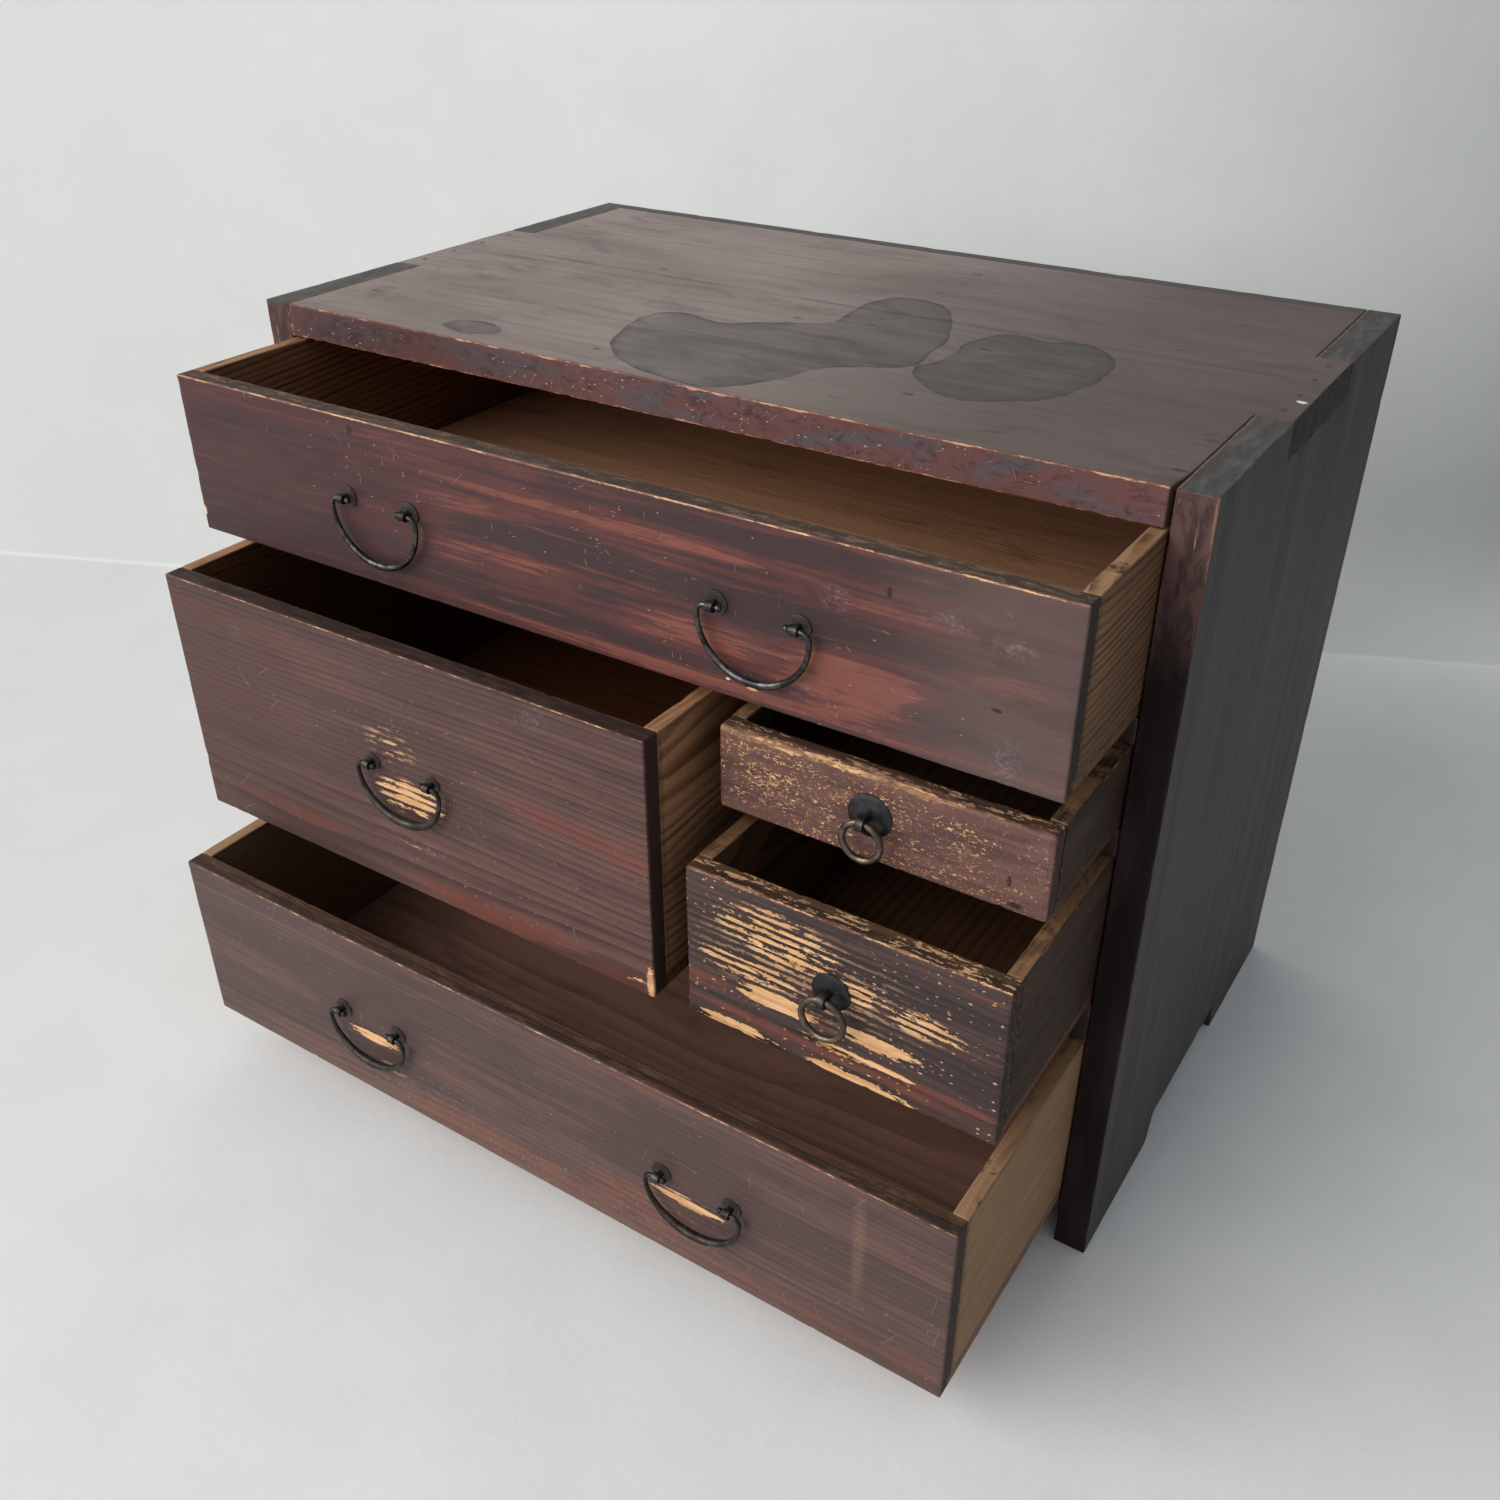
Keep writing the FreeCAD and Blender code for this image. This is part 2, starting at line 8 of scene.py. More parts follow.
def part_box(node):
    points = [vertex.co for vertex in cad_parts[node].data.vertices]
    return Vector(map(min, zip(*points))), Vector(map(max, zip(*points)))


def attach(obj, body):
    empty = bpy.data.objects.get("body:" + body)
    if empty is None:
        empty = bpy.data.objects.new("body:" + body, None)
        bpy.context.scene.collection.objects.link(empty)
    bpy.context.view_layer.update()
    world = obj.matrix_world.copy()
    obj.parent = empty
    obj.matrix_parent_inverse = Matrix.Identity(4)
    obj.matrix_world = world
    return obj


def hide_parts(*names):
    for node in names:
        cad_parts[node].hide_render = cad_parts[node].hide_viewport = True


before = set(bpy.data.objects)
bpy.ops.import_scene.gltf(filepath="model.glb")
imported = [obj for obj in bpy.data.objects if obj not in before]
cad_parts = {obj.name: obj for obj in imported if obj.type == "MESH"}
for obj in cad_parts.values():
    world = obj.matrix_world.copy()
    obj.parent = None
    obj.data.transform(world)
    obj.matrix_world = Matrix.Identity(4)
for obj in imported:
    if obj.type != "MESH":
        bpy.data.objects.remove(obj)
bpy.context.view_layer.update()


# Side boards: two softwood boards with upright grain, standing on feet, lacquered dark grey outside.
# At the front and back thirds their ends come up flush with the top, whose middle finger lies over them.
class Tone:
    """A number or colour that changes over a surface. Sums written with it become Math nodes."""

    def __init__(self, tree, socket):
        self.tree = tree
        self.socket = socket

    def math(self, operation, *others):
        fed = dict(enumerate((self, *others)))
        return Tone(self.tree, add_node(self.tree, "ShaderNodeMath", fed, operation=operation).outputs[0])

    def __add__(self, other):
        return self.math("ADD", other)

    def __sub__(self, other):
        return self.math("SUBTRACT", other)

    def __mul__(self, other):
        return self.math("MULTIPLY", other)

    def __truediv__(self, other):
        return self.math("DIVIDE", other)

    def most(self, other):
        return self.math("MAXIMUM", other)

    def least(self, other):
        return self.math("MINIMUM", other)

    def rest(self):
        """What is left of 1."""
        return self.math("MULTIPLY_ADD", -1, 1)

    def rise(self, start, end):
        """0 up to start and 1 from end on, with a smooth rise between them."""
        fed = {"Value": self, "From Min": start, "From Max": end}
        node = add_node(self.tree, "ShaderNodeMapRange", fed, interpolation_type="SMOOTHSTEP")
        return Tone(self.tree, node.outputs[0])

    def vector(self, operation, *others):
        fed = dict(enumerate((self, *others)))
        node = add_node(self.tree, "ShaderNodeVectorMath", fed, operation=operation)
        return Tone(self.tree, node.outputs["Value" if operation == "LENGTH" else "Vector"])

    def axes(self):
        node = add_node(self.tree, "ShaderNodeSeparateXYZ", {0: self})
        return [Tone(self.tree, socket) for socket in node.outputs]


def feed(tree, socket, part):
    """Gives a node's socket a tone, a plain number or a plain colour."""
    if isinstance(part, Tone):
        tree.links.new(part.socket, socket)
    elif socket.type == "RGBA":
        socket.default_value = (*part, 1)
    else:
        socket.default_value = part


def add_node(tree, kind, fed, **settings):
    """Adds a node with its settings, and feeds its sockets by label or number."""
    node = tree.nodes.new(kind)
    for label, value in settings.items():
        setattr(node, label, value)
    for label, part in fed.items():
        feed(tree, node.inputs[label], part)
    return node


def cloud(place, per_metre, detail=2, harsh=0.5, swirl=0, shift=0):
    """A cloudy pattern with this many features to the metre, along x, y and z or all ways alike."""
    ways = per_metre if isinstance(per_metre, tuple) else (per_metre,) * 3
    spread = place.vector("MULTIPLY_ADD", ways, (shift,) * 3)
    fed = {"Vector": spread, "Scale": 1, "Detail": detail, "Roughness": harsh, "Distortion": swirl}
    return Tone(place.tree, add_node(place.tree, "ShaderNodeTexNoise", fed).outputs[0])


def blend(amount, under, over):
    """One colour laid over another by an amount from 0 to 1."""
    node = add_node(amount.tree, "ShaderNodeMix", {0: amount, 6: under, 7: over}, data_type="RGBA")
    return Tone(amount.tree, node.outputs[2])


def layers(under, *coats):
    """Lays coats over a colour one after another, each given as how much of it is there and its colour."""
    for amount, colour in coats:
        under = blend(amount, under, colour)
    return under


def join_axes(x, y, z):
    return Tone(x.tree, add_node(x.tree, "ShaderNodeCombineXYZ", {0: x, 1: y, 2: z}).outputs[0])


def effect(name, gives, **takes):
    """Starts a finish effect that several materials share. Its inputs come back as tones, the place first."""
    group = bpy.data.node_groups.new(name, "ShaderNodeTree")
    takes = {"place": (0, 0, 0), **takes}
    for label, start in takes.items():
        kind = "NodeSocketVector" if isinstance(start, tuple) else "NodeSocketFloat"
        group.interface.new_socket(label, in_out="INPUT", socket_type=kind).default_value = start
    for label in gives:
        group.interface.new_socket(label, in_out="OUTPUT", socket_type="NodeSocketFloat")
    entry = group.nodes.new("NodeGroupInput")
    return [group, *(Tone(group, entry.outputs[label]) for label in takes)]


def deliver(group, **results):
    add_node(group, "NodeGroupOutput", results)


def use(group, place, **values):
    """Places a finish effect in a material, and gives its results by name."""
    node = add_node(place.tree, "ShaderNodeGroup", {"place": place, **values}, node_tree=group)
    return {socket.name: Tone(place.tree, socket) for socket in node.outputs}


# Growth rings of a board whose grain runs along x, round a pith line at pith_y, pith_z.
rings, place, pith_y, pith_z, width, wander = effect(
    "growth rings", ["late", "fibre", "flow"], pith_y=0, pith_z=0, width=0.004, wander=0.01)
x, y, z = place.axes()
bowed_y = y - pith_y + (cloud(place, (1.7, 7, 7)) - 0.5) * wander * 2
bowed_z = z - pith_z + (cloud(place, (2.3, 6, 6), shift=31) - 0.5) * wander * 2
radius = (bowed_y * bowed_y + bowed_z * bowed_z).math("SQRT")
phase = radius / width + (cloud(place, (9, 150, 150), shift=7) - 0.5) * 0.5
cycle = phase.math("FRACT")
odd = add_node(rings, "ShaderNodeTexWhiteNoise", {"W": phase.math("FLOOR")}, noise_dimensions="1D")
strength = Tone(rings, odd.outputs["Value"]) * 0.6 + 0.4
deliver(
    rings,
    late=(cycle.rise(0.25, 0.86) - cycle.rise(0.9, 1)) * strength,
    fibre=cloud(place, (22, 850, 850), 3, 0.6),
    flow=cloud(place, (2.8, 34, 34), 4, 0.55, 0.7, 11))

# How far a point of a rectangular board is from its nearest arris.
arris, place, low, high = effect("distance from the arris", ["inset"], low=(0, 0, 0), high=(1, 1, 1))
a, b, c = place.vector("SUBTRACT", low).vector("MINIMUM", high.vector("SUBTRACT", place)).axes()
deliver(arris, inset=a.least(b).most(a.most(b).least(c)))


def cells_over(spread):
    """Scattered cells over x and y: how far a cell's heart is, the cell's own chances, and its heart."""
    fed = {"Vector": spread, "Scale": 1}
    node = add_node(spread.tree, "ShaderNodeTexVoronoi", fed, voronoi_dimensions="2D")
    return [Tone(spread.tree, node.outputs[label]) for label in ("Distance", "Color", "Position")]


# Small chips where lacquer has flaked, over a face whose own plane is x, y, longer along x than across.
chips, place, cells, share, size = effect("flaked chips", ["chip"], cells=300, share=0.05, size=0.2)
distance, chances, heart = cells_over(place.vector("MULTIPLY", join_axes(cells * 0.5, cells, cells * 0)))
luck, girth, spare = chances.axes()
jagged = (cloud(place, (700, 1700, 1700), 2, 0.6) - 0.5) * 0.45
outline = distance + jagged - size * (girth * 0.8 + 0.35)
deliver(chips, chip=outline.rise(0.04, -0.04) * (luck - share).rise(0, -0.01))

# Short scratches in every direction over a face whose own plane is x, y.
scratches, place, cells, reach, fine, share = effect(
    "scratches", ["scratch"], cells=60, reach=0.4, fine=0.02, share=0.5)
spread = place.vector("MULTIPLY", join_axes(cells, cells, cells * 0))
distance, chances, heart = cells_over(spread)
luck, lie, bow = chances.axes()
fed = {"Vector": spread.vector("SUBTRACT", heart), "Angle": lie * 3}
turn = add_node(scratches, "ShaderNodeVectorRotate", fed, rotation_type="Z_AXIS")
along, across, spare = Tone(scratches, turn.outputs[0]).axes()
across = across + along * along * (bow - 0.5) * 0.6
long_enough = (along.math("ABSOLUTE") / reach).rise(1, 0.6)
thin_enough = (across.math("ABSOLUTE") / fine).rise(1, 0.3)
deliver(scratches, scratch=long_enough * thin_enough * (luck - share).rise(0.01, -0.01))


def new_finish(name):
    """A material to be mixed, with the place on the chest as its pattern's coordinate."""
    material = bpy.data.materials.new(name)
    material.use_nodes = True
    tree = material.node_tree
    return material, Tone(tree, tree.nodes.new("ShaderNodeTexCoord").outputs["Object"])


def settle(material, colour, roughness, relief, deep, sheen=0.5):
    """Lays a colour, a roughness, a relief so many metres deep and a sheen on a material's shader."""
    tree = material.node_tree
    shader = tree.nodes["Principled BSDF"]
    bump = add_node(tree, "ShaderNodeBump", {"Height": relief, "Distance": deep, "Strength": 1})
    shader.inputs["Specular IOR Level"].default_value = sheen
    feed(tree, shader.inputs["Base Color"], colour)
    feed(tree, shader.inputs["Roughness"], roughness)
    feed(tree, shader.inputs["Normal"], Tone(tree, bump.outputs[0]))
    return material


def grain_along(place, axis):
    """The place turned so that the grain runs along x."""
    if axis == "x":
        return place
    x, y, z = place.axes()
    return join_axes(y, x, z) if axis == "y" else join_axes(z, x, y)


def board_finish(node, kind, axis, **grain):
    """Starts a board's material, and gives its place, corners, growth rings and distance from the arrises."""
    low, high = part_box(node)
    material, place = new_finish(f"{node} {kind}")
    ring = use(rings, grain_along(place, axis), **grain)
    return material, place, low, high, ring, use(arris, place, low=low, high=high)["inset"]


def at_limit(tone, limit):
    """1 where a tone comes within about a millimetre of a limit."""
    return tone.rise(limit - SKIN[0], limit - SKIN[1])


def sawn_block(low, high, spans):
    """A block of timber between two corners, cut into spans of about these lengths along its sides."""
    block = bmesh.new()
    bmesh.ops.create_cube(block, size=1)
    bmesh.ops.scale(block, vec=high - low, verts=block.verts)
    bmesh.ops.translate(block, vec=(low + high) / 2, verts=block.verts)
    for axis in range(3):
        along = [e for e in block.edges if abs((e.verts[1].co - e.verts[0].co)[axis]) > 1e-6]
        cuts = round((high - low)[axis] / spans[axis]) - 1
        if cuts > 0:
            bmesh.ops.subdivide_edges(block, edges=along, cuts=cuts, use_grid_fill=True)
    return block


def arrises_of(block):
    return [e for e in block.edges if e.is_manifold and e.calc_face_angle() > ARRIS_ANGLE]


def ease(block, round_over, knock, shift):
    """Rounds a block's arrises and leaves small uneven nicks on them, as years of handling do."""
    made = bmesh.ops.bevel(
        block, geom=arrises_of(block), offset=round_over, offset_type="OFFSET", affect="EDGES",
        segments=2, profile=0.5, material=-1, clamp_overlap=True)
    block.normal_update()
    for v in {v for f in made["faces"] for v in f.verts}:
        wave = noise.noise(v.co * WAVES + Vector((shift, 0, 0)))
        nick = max(0, noise.noise(v.co * NICKS + Vector((0, shift, 0))) - NICK_START)
        v.co -= v.normal * knock * (WAVE_DEPTH + WAVE_DEPTH * wave + NICK_DEPTH * nick)


def cut_across(block, y):
    """Cuts a block's faces through along the plane of one depth."""
    geom = [*block.verts, *block.edges, *block.faces]
    bmesh.ops.bisect_plane(block, geom=geom, plane_co=(0, y, 0), plane_no=(0, 1, 0))


def facing(block, way, start, end, inside=True):
    """A block's faces that look one way and lie between two depths, or outside them."""
    return [f for f in block.faces
            if f.normal.dot(way) > SQUARELY and (start < f.calc_center_median().y < end) == inside]


def stretch_faces(block, faces, move):
    """Pulls some faces of a block out by a move, as a finger or a foot left by the saw."""
    made = bmesh.ops.extrude_face_region(block, geom=faces)["geom"]
    bmesh.ops.translate(block, vec=move, verts=[v for v in made if isinstance(v, bmesh.types.BMVert)])
    bmesh.ops.delete(block, geom=[f for f in faces if f.is_valid], context="FACES_KEEP_BOUNDARY")


def make_piece(name, block, material, body, node):
    """Turns a mesh into a piece of the chest, riding on its body in place of its CAD node."""
    mesh = bpy.data.meshes.new(name)
    block.to_mesh(mesh)
    block.free()
    mesh.materials.append(material)
    piece = bpy.data.objects.new(name, mesh)
    bpy.context.scene.collection.objects.link(piece)
    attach(piece, body)
    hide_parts(node)
    return piece


SKIN = (0.0012, 0.0004)
ARRIS_ANGLE = 0.7
WAVES = 55
WAVE_DEPTH = 0.3
NICKS = 230
NICK_START = 0.34
NICK_DEPTH = 3.2
SQUARELY = 0.9
UP = Vector((0, 0, 1))
front_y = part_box("side_board_right")[0].y
board_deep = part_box("side_board_right")[1].y - front_y
FINGER = (front_y + board_deep / 3, front_y + board_deep * 2 / 3)
NOTCH_LONG = 0.131
NOTCH = (front_y + (board_deep - NOTCH_LONG) / 2, front_y + (board_deep + NOTCH_LONG) / 2)
NOTCH_SLOPE = 0.004
FOOT = 0.022
TOP_THICK = 0.02
SIDE_SPANS = (0.02, 0.007, 0.005)
INNER_TIMBER = (0.26, 0.15, 0.085)
INNER_LATE = (0.12, 0.06, 0.032)


def side_board_block(node):
    low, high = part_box(node)
    block = sawn_block(
        Vector((low.x, low.y, FOOT)), Vector((high.x, high.y, high.z - TOP_THICK)), SIDE_SPANS)
    for y in (*FINGER, *NOTCH):
        cut_across(block, y)
    stretch_faces(block, facing(block, UP, *FINGER, inside=False), (0, 0, TOP_THICK))
    stretch_faces(block, facing(block, -UP, *NOTCH, inside=False), (0, 0, -FOOT))
    for v in block.verts:
        for y, slope in zip(NOTCH, (NOTCH_SLOPE, -NOTCH_SLOPE)):
            if abs(v.co.z - FOOT) < 1e-4 and abs(v.co.y - y) < 1e-4:
                v.co.y += slope
    bmesh.ops.recalc_face_normals(block, faces=block.faces)
    return block


def side_board_finish(node, out):
    """Dark grey lacquer outside, purple-brown worn lacquer on the front edge, bare timber inside."""
    material, place, low, high, grain, inset = board_finish(
        node, "lacquer", "z", pith_y=0.2, pith_z=0.31, width=0.009, wander=0.05)
    x, y, z = place.axes()
    from_front = y - low.y
    from_right, from_left = x * -1 + high.x, x - low.x
    from_outside, from_inside = (from_right, from_left) if out > 0 else (from_left, from_right)
    flat = join_axes(z, y, x)
    broad = cloud(place, (6, 6, 2.5), 3)
    upright = cloud(place, (45, 45, 1.8), 4, 0.6, 0.4)
    near_top = z.rise(0.34, 0.47)
    fleck = use(chips, flat, cells=150, share=near_top * 0.035 + 0.006, size=0.28)["chip"]
    scrape = use(scratches, flat, cells=50, reach=0.3, fine=0.012, share=0.05)["scratch"]
    grey = layers(
        (0.04, 0.034, 0.033),
        (upright.rise(0.36, 0.66), (0.064, 0.056, 0.054)),
        (grain["late"] * 0.3, (0.03, 0.025, 0.025)),
        (broad.rise(0.5, 0.72) * 0.4, (0.062, 0.047, 0.043)),
        (grain["fibre"].rise(0.55, 0.8) * 0.35, (0.085, 0.076, 0.072)),
        (fleck * 0.85, (0.01, 0.008, 0.009)),
        (scrape * 0.3, (0.2, 0.18, 0.17)))
    streak = cloud(place, (420, 100, 26), 4, 0.65)
    bruise = cloud(place, (60, 60, 14), 3).rise(0.4, 0.65)
    high_up = (z + (cloud(place, (80, 80, 20), 2) - 0.5) * 0.05).rise(0.39, 0.44)
    scar = cloud(place, (110, 110, 45), 5, 0.68, 0.6, 15).rise(0.4, 0.6)
    outer = from_outside.rise(0.011, 0.002)
    edge = layers(
        (0.01, 0.0055, 0.006),
        (bruise, (0.026, 0.013, 0.014)),
        (high_up * 0.85, blend(scar, (0.05, 0.028, 0.028), (0.12, 0.064, 0.056))),
        (high_up * (streak + outer * 0.1).rise(0.64, 0.72) * 0.8, (0.42, 0.25, 0.16)))
    front = from_front.rise(*SKIN)
    inside = from_inside.rise(0.0015, 0.0005)
    rubbed = inset + (cloud(place, (150, 150, 60), 4, 0.68) - 0.5) * 0.0065
    rub_share = from_front.rise(0.006, 0.003) * (high_up * 0.85 + 0.1)
    worn = rubbed.rise(0.0004, -0.0008) * (rub_share + near_top * 0.15)
    pores = cloud(place, (300, 60, 60), 3).rise(0.35, 0.7)
    coat = layers(
        grey,
        (front, edge),
        (rubbed.rise(0.0035, 0.0005) * rub_share * 0.6, (0.1, 0.045, 0.038)),
        (worn, (0.44, 0.26, 0.16)),
        (at_limit(z, high.z), blend(pores, (0.05, 0.046, 0.043), (0.09, 0.083, 0.078))),
        (inside * front.rest(), blend(grain["late"] * 0.8, INNER_TIMBER, INNER_LATE)))
    rough = grain["fibre"] * 0.18 + 0.48 + worn * 0.2 + inside * 0.2
    relief = grain["late"] * 0.25 + grain["fibre"] * 0.25 - fleck * 0.8 - worn * 0.4
    relief = relief + front * high_up * streak * 1.2
    return settle(material, coat, rough, relief, deep=0.0005, sheen=0.16)


for node, out in (("side_board_left", -1), ("side_board_right", 1)):
    block = side_board_block(node)
    ease(block, round_over=0.001, knock=0.0004, shift=out * 9)
    make_piece(
        node.replace("board", "plank"), block, side_board_finish(node, out), "carcass", node)


# Top board: one wide softwood board, lacquered and dulled, its middle fingers nailed over the sides.
# Water has left dark marks with crisp rims on it, and its front arris is rubbed down to bare wood.
SIDE_THICK = 0.02
OPEN_JOINT = 0.0026
OPEN_JOINT_DEEP = 0.03
TOP_SPANS = (0.004, 0.006, 0.02)
top_low, top_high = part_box("top_board")
body_low = Vector((top_low.x + SIDE_THICK, top_low.y, top_low.z))
body_high = Vector((top_high.x - SIDE_THICK, top_high.y, top_high.z))
block = sawn_block(body_low, body_high, TOP_SPANS)
for y in FINGER:
    cut_across(block, y)
for way in (-1, 1):
    stretch_faces(block, facing(block, Vector((way, 0, 0)), *FINGER), (way * SIDE_THICK, 0, 0))
bmesh.ops.recalc_face_normals(block, faces=block.faces)
for v in block.verts:
    if abs(v.co.x - body_high.x) < 1e-5:
        v.co.x -= OPEN_JOINT * max(0, 1 - (v.co.y - top_low.y) / OPEN_JOINT_DEEP)
ease(block, round_over=0.0009, knock=0.0005, shift=3)

# The outlines of the two water marks, as places across the top and back from its front edge.
WATER_MARKS = [
    [(-0.071, 0.054), (-0.082, 0.091), (-0.074, 0.116), (-0.047, 0.113), (-0.026, 0.109), (-0.013, 0.126),
     (0.025, 0.142), (0.021, 0.166), (0.019, 0.207), (0.041, 0.226), (0.073, 0.209), (0.094, 0.161),
     (0.1, 0.13), (0.103, 0.089), (0.075, 0.078), (0.058, 0.056), (0.057, 0.037), (0.045, 0.019),
     (0.03, 0.002), (-0.002, 0.006), (-0.043, 0.016)],
    [(0.103, 0.089), (0.122, 0.069), (0.145, 0.054), (0.17, 0.067), (0.187, 0.081), (0.198, 0.108),
     (0.198, 0.143), (0.193, 0.165), (0.177, 0.182), (0.158, 0.186), (0.148, 0.175), (0.13, 0.184),
     (0.116, 0.18), (0.109, 0.158), (0.11, 0.13), (0.112, 0.109)],
]
SMALL_MARK = (-0.15, front_y + 0.0225, 0.492)
PAINT_SPOT = (0.2973, front_y + 0.1496, 0.492)
SPLIT_BACK = 0.1835


def soften(outline):
    """Cuts an outline's corners, so that it runs as water does."""
    points = []
    for near, far in zip(outline, outline[1:] + outline[:1]):
        points += [near.lerp(far, 0.25), near.lerp(far, 0.75)]
    return points


def depth_in(outline, point):
    """How far a point lies inside an outline, or outside it as a negative length."""
    nearest = 1.0
    within = False
    for a, b in zip(outline, outline[1:] + outline[:1]):
        along = b - a
        share = min(1.0, max(0.0, (point - a).dot(along) / along.length_squared))
        nearest = min(nearest, (point - a - along * share).length)
        if (a.y > point.y) != (b.y > point.y) and point.x < a.x + along.x * (point.y - a.y) / along.y:
            within = not within
    return nearest if within else -nearest


outlines = []
for mark in WATER_MARKS:
    outline = [Vector((across, front_y + back)) for across, back in mark]
    outlines.append(soften(soften(outline)))

# A blot with a ragged outline: an oval by its centre and half sizes.
blot, place, centre, half, streak, ragged = effect(
    "ragged blot", ["blot", "spread"],
    centre=(0, 0, 0), half=(0.1, 0.1, 0.1), streak=(40, 40, 40), ragged=0.5)
spread = place.vector("SUBTRACT", centre).vector("DIVIDE", half).vector("LENGTH")
spread = spread + (cloud(place.vector("MULTIPLY", streak), 1, 3, 0.55) - 0.5) * ragged
deliver(blot, blot=spread.rise(1.06, 0.94), spread=spread)

material, place = new_finish("dulled top lacquer with painted sheen")
x, y, z = place.axes()
back = y - front_y
grain = use(rings, place, pith_y=0.06, pith_z=0.4, width=0.007, wander=0.03)
inset = use(arris, place, low=body_low, high=body_high)["inset"]
broad = cloud(place, (3, 7, 7), 4, 0.55, 0.5)
fine = cloud(place, (10, 150, 150), 4, 0.62)
dust = cloud(place, (35, 60, 60), 5, 0.62, 0.3)
haze = cloud(place, (16, 34, 34), 6, 0.66, 0.9, 8)
# Painted reflection: the top's colours are lighter and greyer than its lacquer, standing for the sheen of the
# pale wall, and the layer by x darkens them towards the right end, where that painted reflection fades.
dull_with_painted_sheen = layers(
    (0.16, 0.118, 0.104),
    (broad.rise(0.36, 0.62), (0.255, 0.198, 0.18)),
    (fine.rise(0.48, 0.74) * 0.35, (0.075, 0.05, 0.042)),
    (grain["late"] * 0.14, (0.046, 0.028, 0.022)),
    (dust.rise(0.45, 0.7) * 0.4, (0.215, 0.178, 0.164)),
    (x.rise(-0.08, 0.22) * 0.75, (0.064, 0.04, 0.033)),
    (haze.rise(0.5, 0.7) * 0.35, (0.036, 0.023, 0.018)))
pool = add_node(material.node_tree, "ShaderNodeAttribute", {}, attribute_name="water_depth")
ripple = cloud(place, 26, 4, 0.6, 0.4)
small = use(blot, place, centre=SMALL_MARK, half=(0.02, 0.012, 1), streak=(60, 60, 60), ragged=0.9)
wet = Tone(material.node_tree, pool.outputs["Fac"]) + (ripple - 0.5) * 0.009
wet = wet.most(small["spread"].rest() * 0.012)
stain = wet.rise(-0.0007, 0.0007)
tide = wet.rise(0.0065, 0.0002) * stain
line = wet.rise(0.0024, 0.0006) * stain
veil = cloud(place, (11, 26, 26), 5, 0.62, 1.2, 4)
pale_end = x.rise(0.07, -0.08) * 0.3
split = back - SPLIT_BACK + (cloud(place, (2.2, 0, 0), 2) - 0.5) * 0.035
crack = split.math("ABSOLUTE").rise(0.0011, 0.0003) * cloud(place, (12, 30, 30), 2).rise(0.46, 0.6)
fleck = use(chips, place, cells=130, share=0.02, size=0.22)["chip"]
scrape = use(scratches, place, cells=36, reach=0.42, fine=0.008, share=0.1)["scratch"]
paint = use(blot, place, centre=PAINT_SPOT, half=(0.0026, 0.002, 1), streak=(420, 420, 420), ragged=1.3)
marked = layers(
    dull_with_painted_sheen,
    (stain * (veil.rise(0.64, 0.38) * 0.4 + 0.45 - pale_end), (0.05, 0.049, 0.046)),
    (stain * veil.rise(0.48, 0.62) * wet.rise(0.004, 0.016) * 0.45, (0.11, 0.101, 0.092)),
    (tide * veil.rise(0.66, 0.4) * 0.5, (0.034, 0.033, 0.032)),
    (line * (ripple.rise(0.4, 0.58) * 0.5 + 0.1), (0.012, 0.011, 0.01)),
    (split.math("ABSOLUTE").rise(0.006, 0) * 0.16, (0.055, 0.044, 0.038)),
    (crack * 0.55, (0.026, 0.021, 0.018)),
    (fleck * 0.75, (0.026, 0.021, 0.019)),
    (scrape * 0.3, (0.22, 0.19, 0.18)),
    (paint["blot"], (0.72, 0.71, 0.69)))
patch = cloud(place, (12, 30, 40), 4, 0.58, 0.9)
mottle = cloud(place, (90, 300, 190), 5, 0.7, 0.8)
cut_plane = join_axes(x, z, y)
worn_patch = cloud(place, 14, 3).rise(0.44, 0.62)
cut_share = worn_patch * 0.34 + 0.03
chip_share = worn_patch * 0.14 + 0.015
nicks = use(scratches, cut_plane, cells=150, reach=0.46, fine=0.03, share=cut_share)["scratch"]
nicks = nicks.most(use(chips, cut_plane, cells=520, share=chip_share, size=0.24)["chip"])
edge = layers(
    (0.1, 0.076, 0.082),
    (patch.rise(0.42, 0.58), (0.14, 0.062, 0.058)),
    (mottle.rise(0.5, 0.66) * 0.6, (0.036, 0.022, 0.024)),
    (mottle.rise(0.44, 0.32) * 0.22, (0.18, 0.12, 0.122)),
    (x.rise(-0.02, -0.22) * 0.45, (0.04, 0.02, 0.02)),
    (nicks * 0.62, (0.46, 0.36, 0.33)))
front = back.rise(*SKIN)
at_front = back.rise(0.006, 0.003)
rubbed = inset + (cloud(place, (80, 300, 300), 4, 0.7) - 0.5) * 0.0055
worn = rubbed.rise(0.0009, 0.0001) * at_front
in_finger = (y - FINGER[0]).rise(-0.0004, 0.0004) * (y - FINGER[1]).rise(0.0004, -0.0004)
joint = inset.rise(0.0013, 0.0005) * at_front.rest() * in_finger.rest()
finger_end = x.math("ABSOLUTE").rise(top_high.x - 0.0016, top_high.x - 0.0008)
under_top = z.rise(top_low.z + 0.0015, top_low.z + 0.0004)
coat = layers(
    marked,
    (front, edge),
    (rubbed.rise(0.003, 0.0006) * at_front * 0.65, (0.15, 0.052, 0.038)),
    (worn * 0.9, (0.58, 0.33, 0.21)),
    (joint * 0.8, (0.02, 0.017, 0.016)),
    (finger_end, blend(fine.rise(0.35, 0.65), (0.03, 0.026, 0.026), (0.052, 0.046, 0.044))),
    (under_top * front.rest(), blend(grain["late"] * 0.8, INNER_TIMBER, INNER_LATE)))
rough = fine * 0.12 + dust * 0.12 + 0.34 + stain * 0.06 + front * 0.16 + worn * 0.2 + under_top * 0.25
rough = rough + finger_end * 0.4
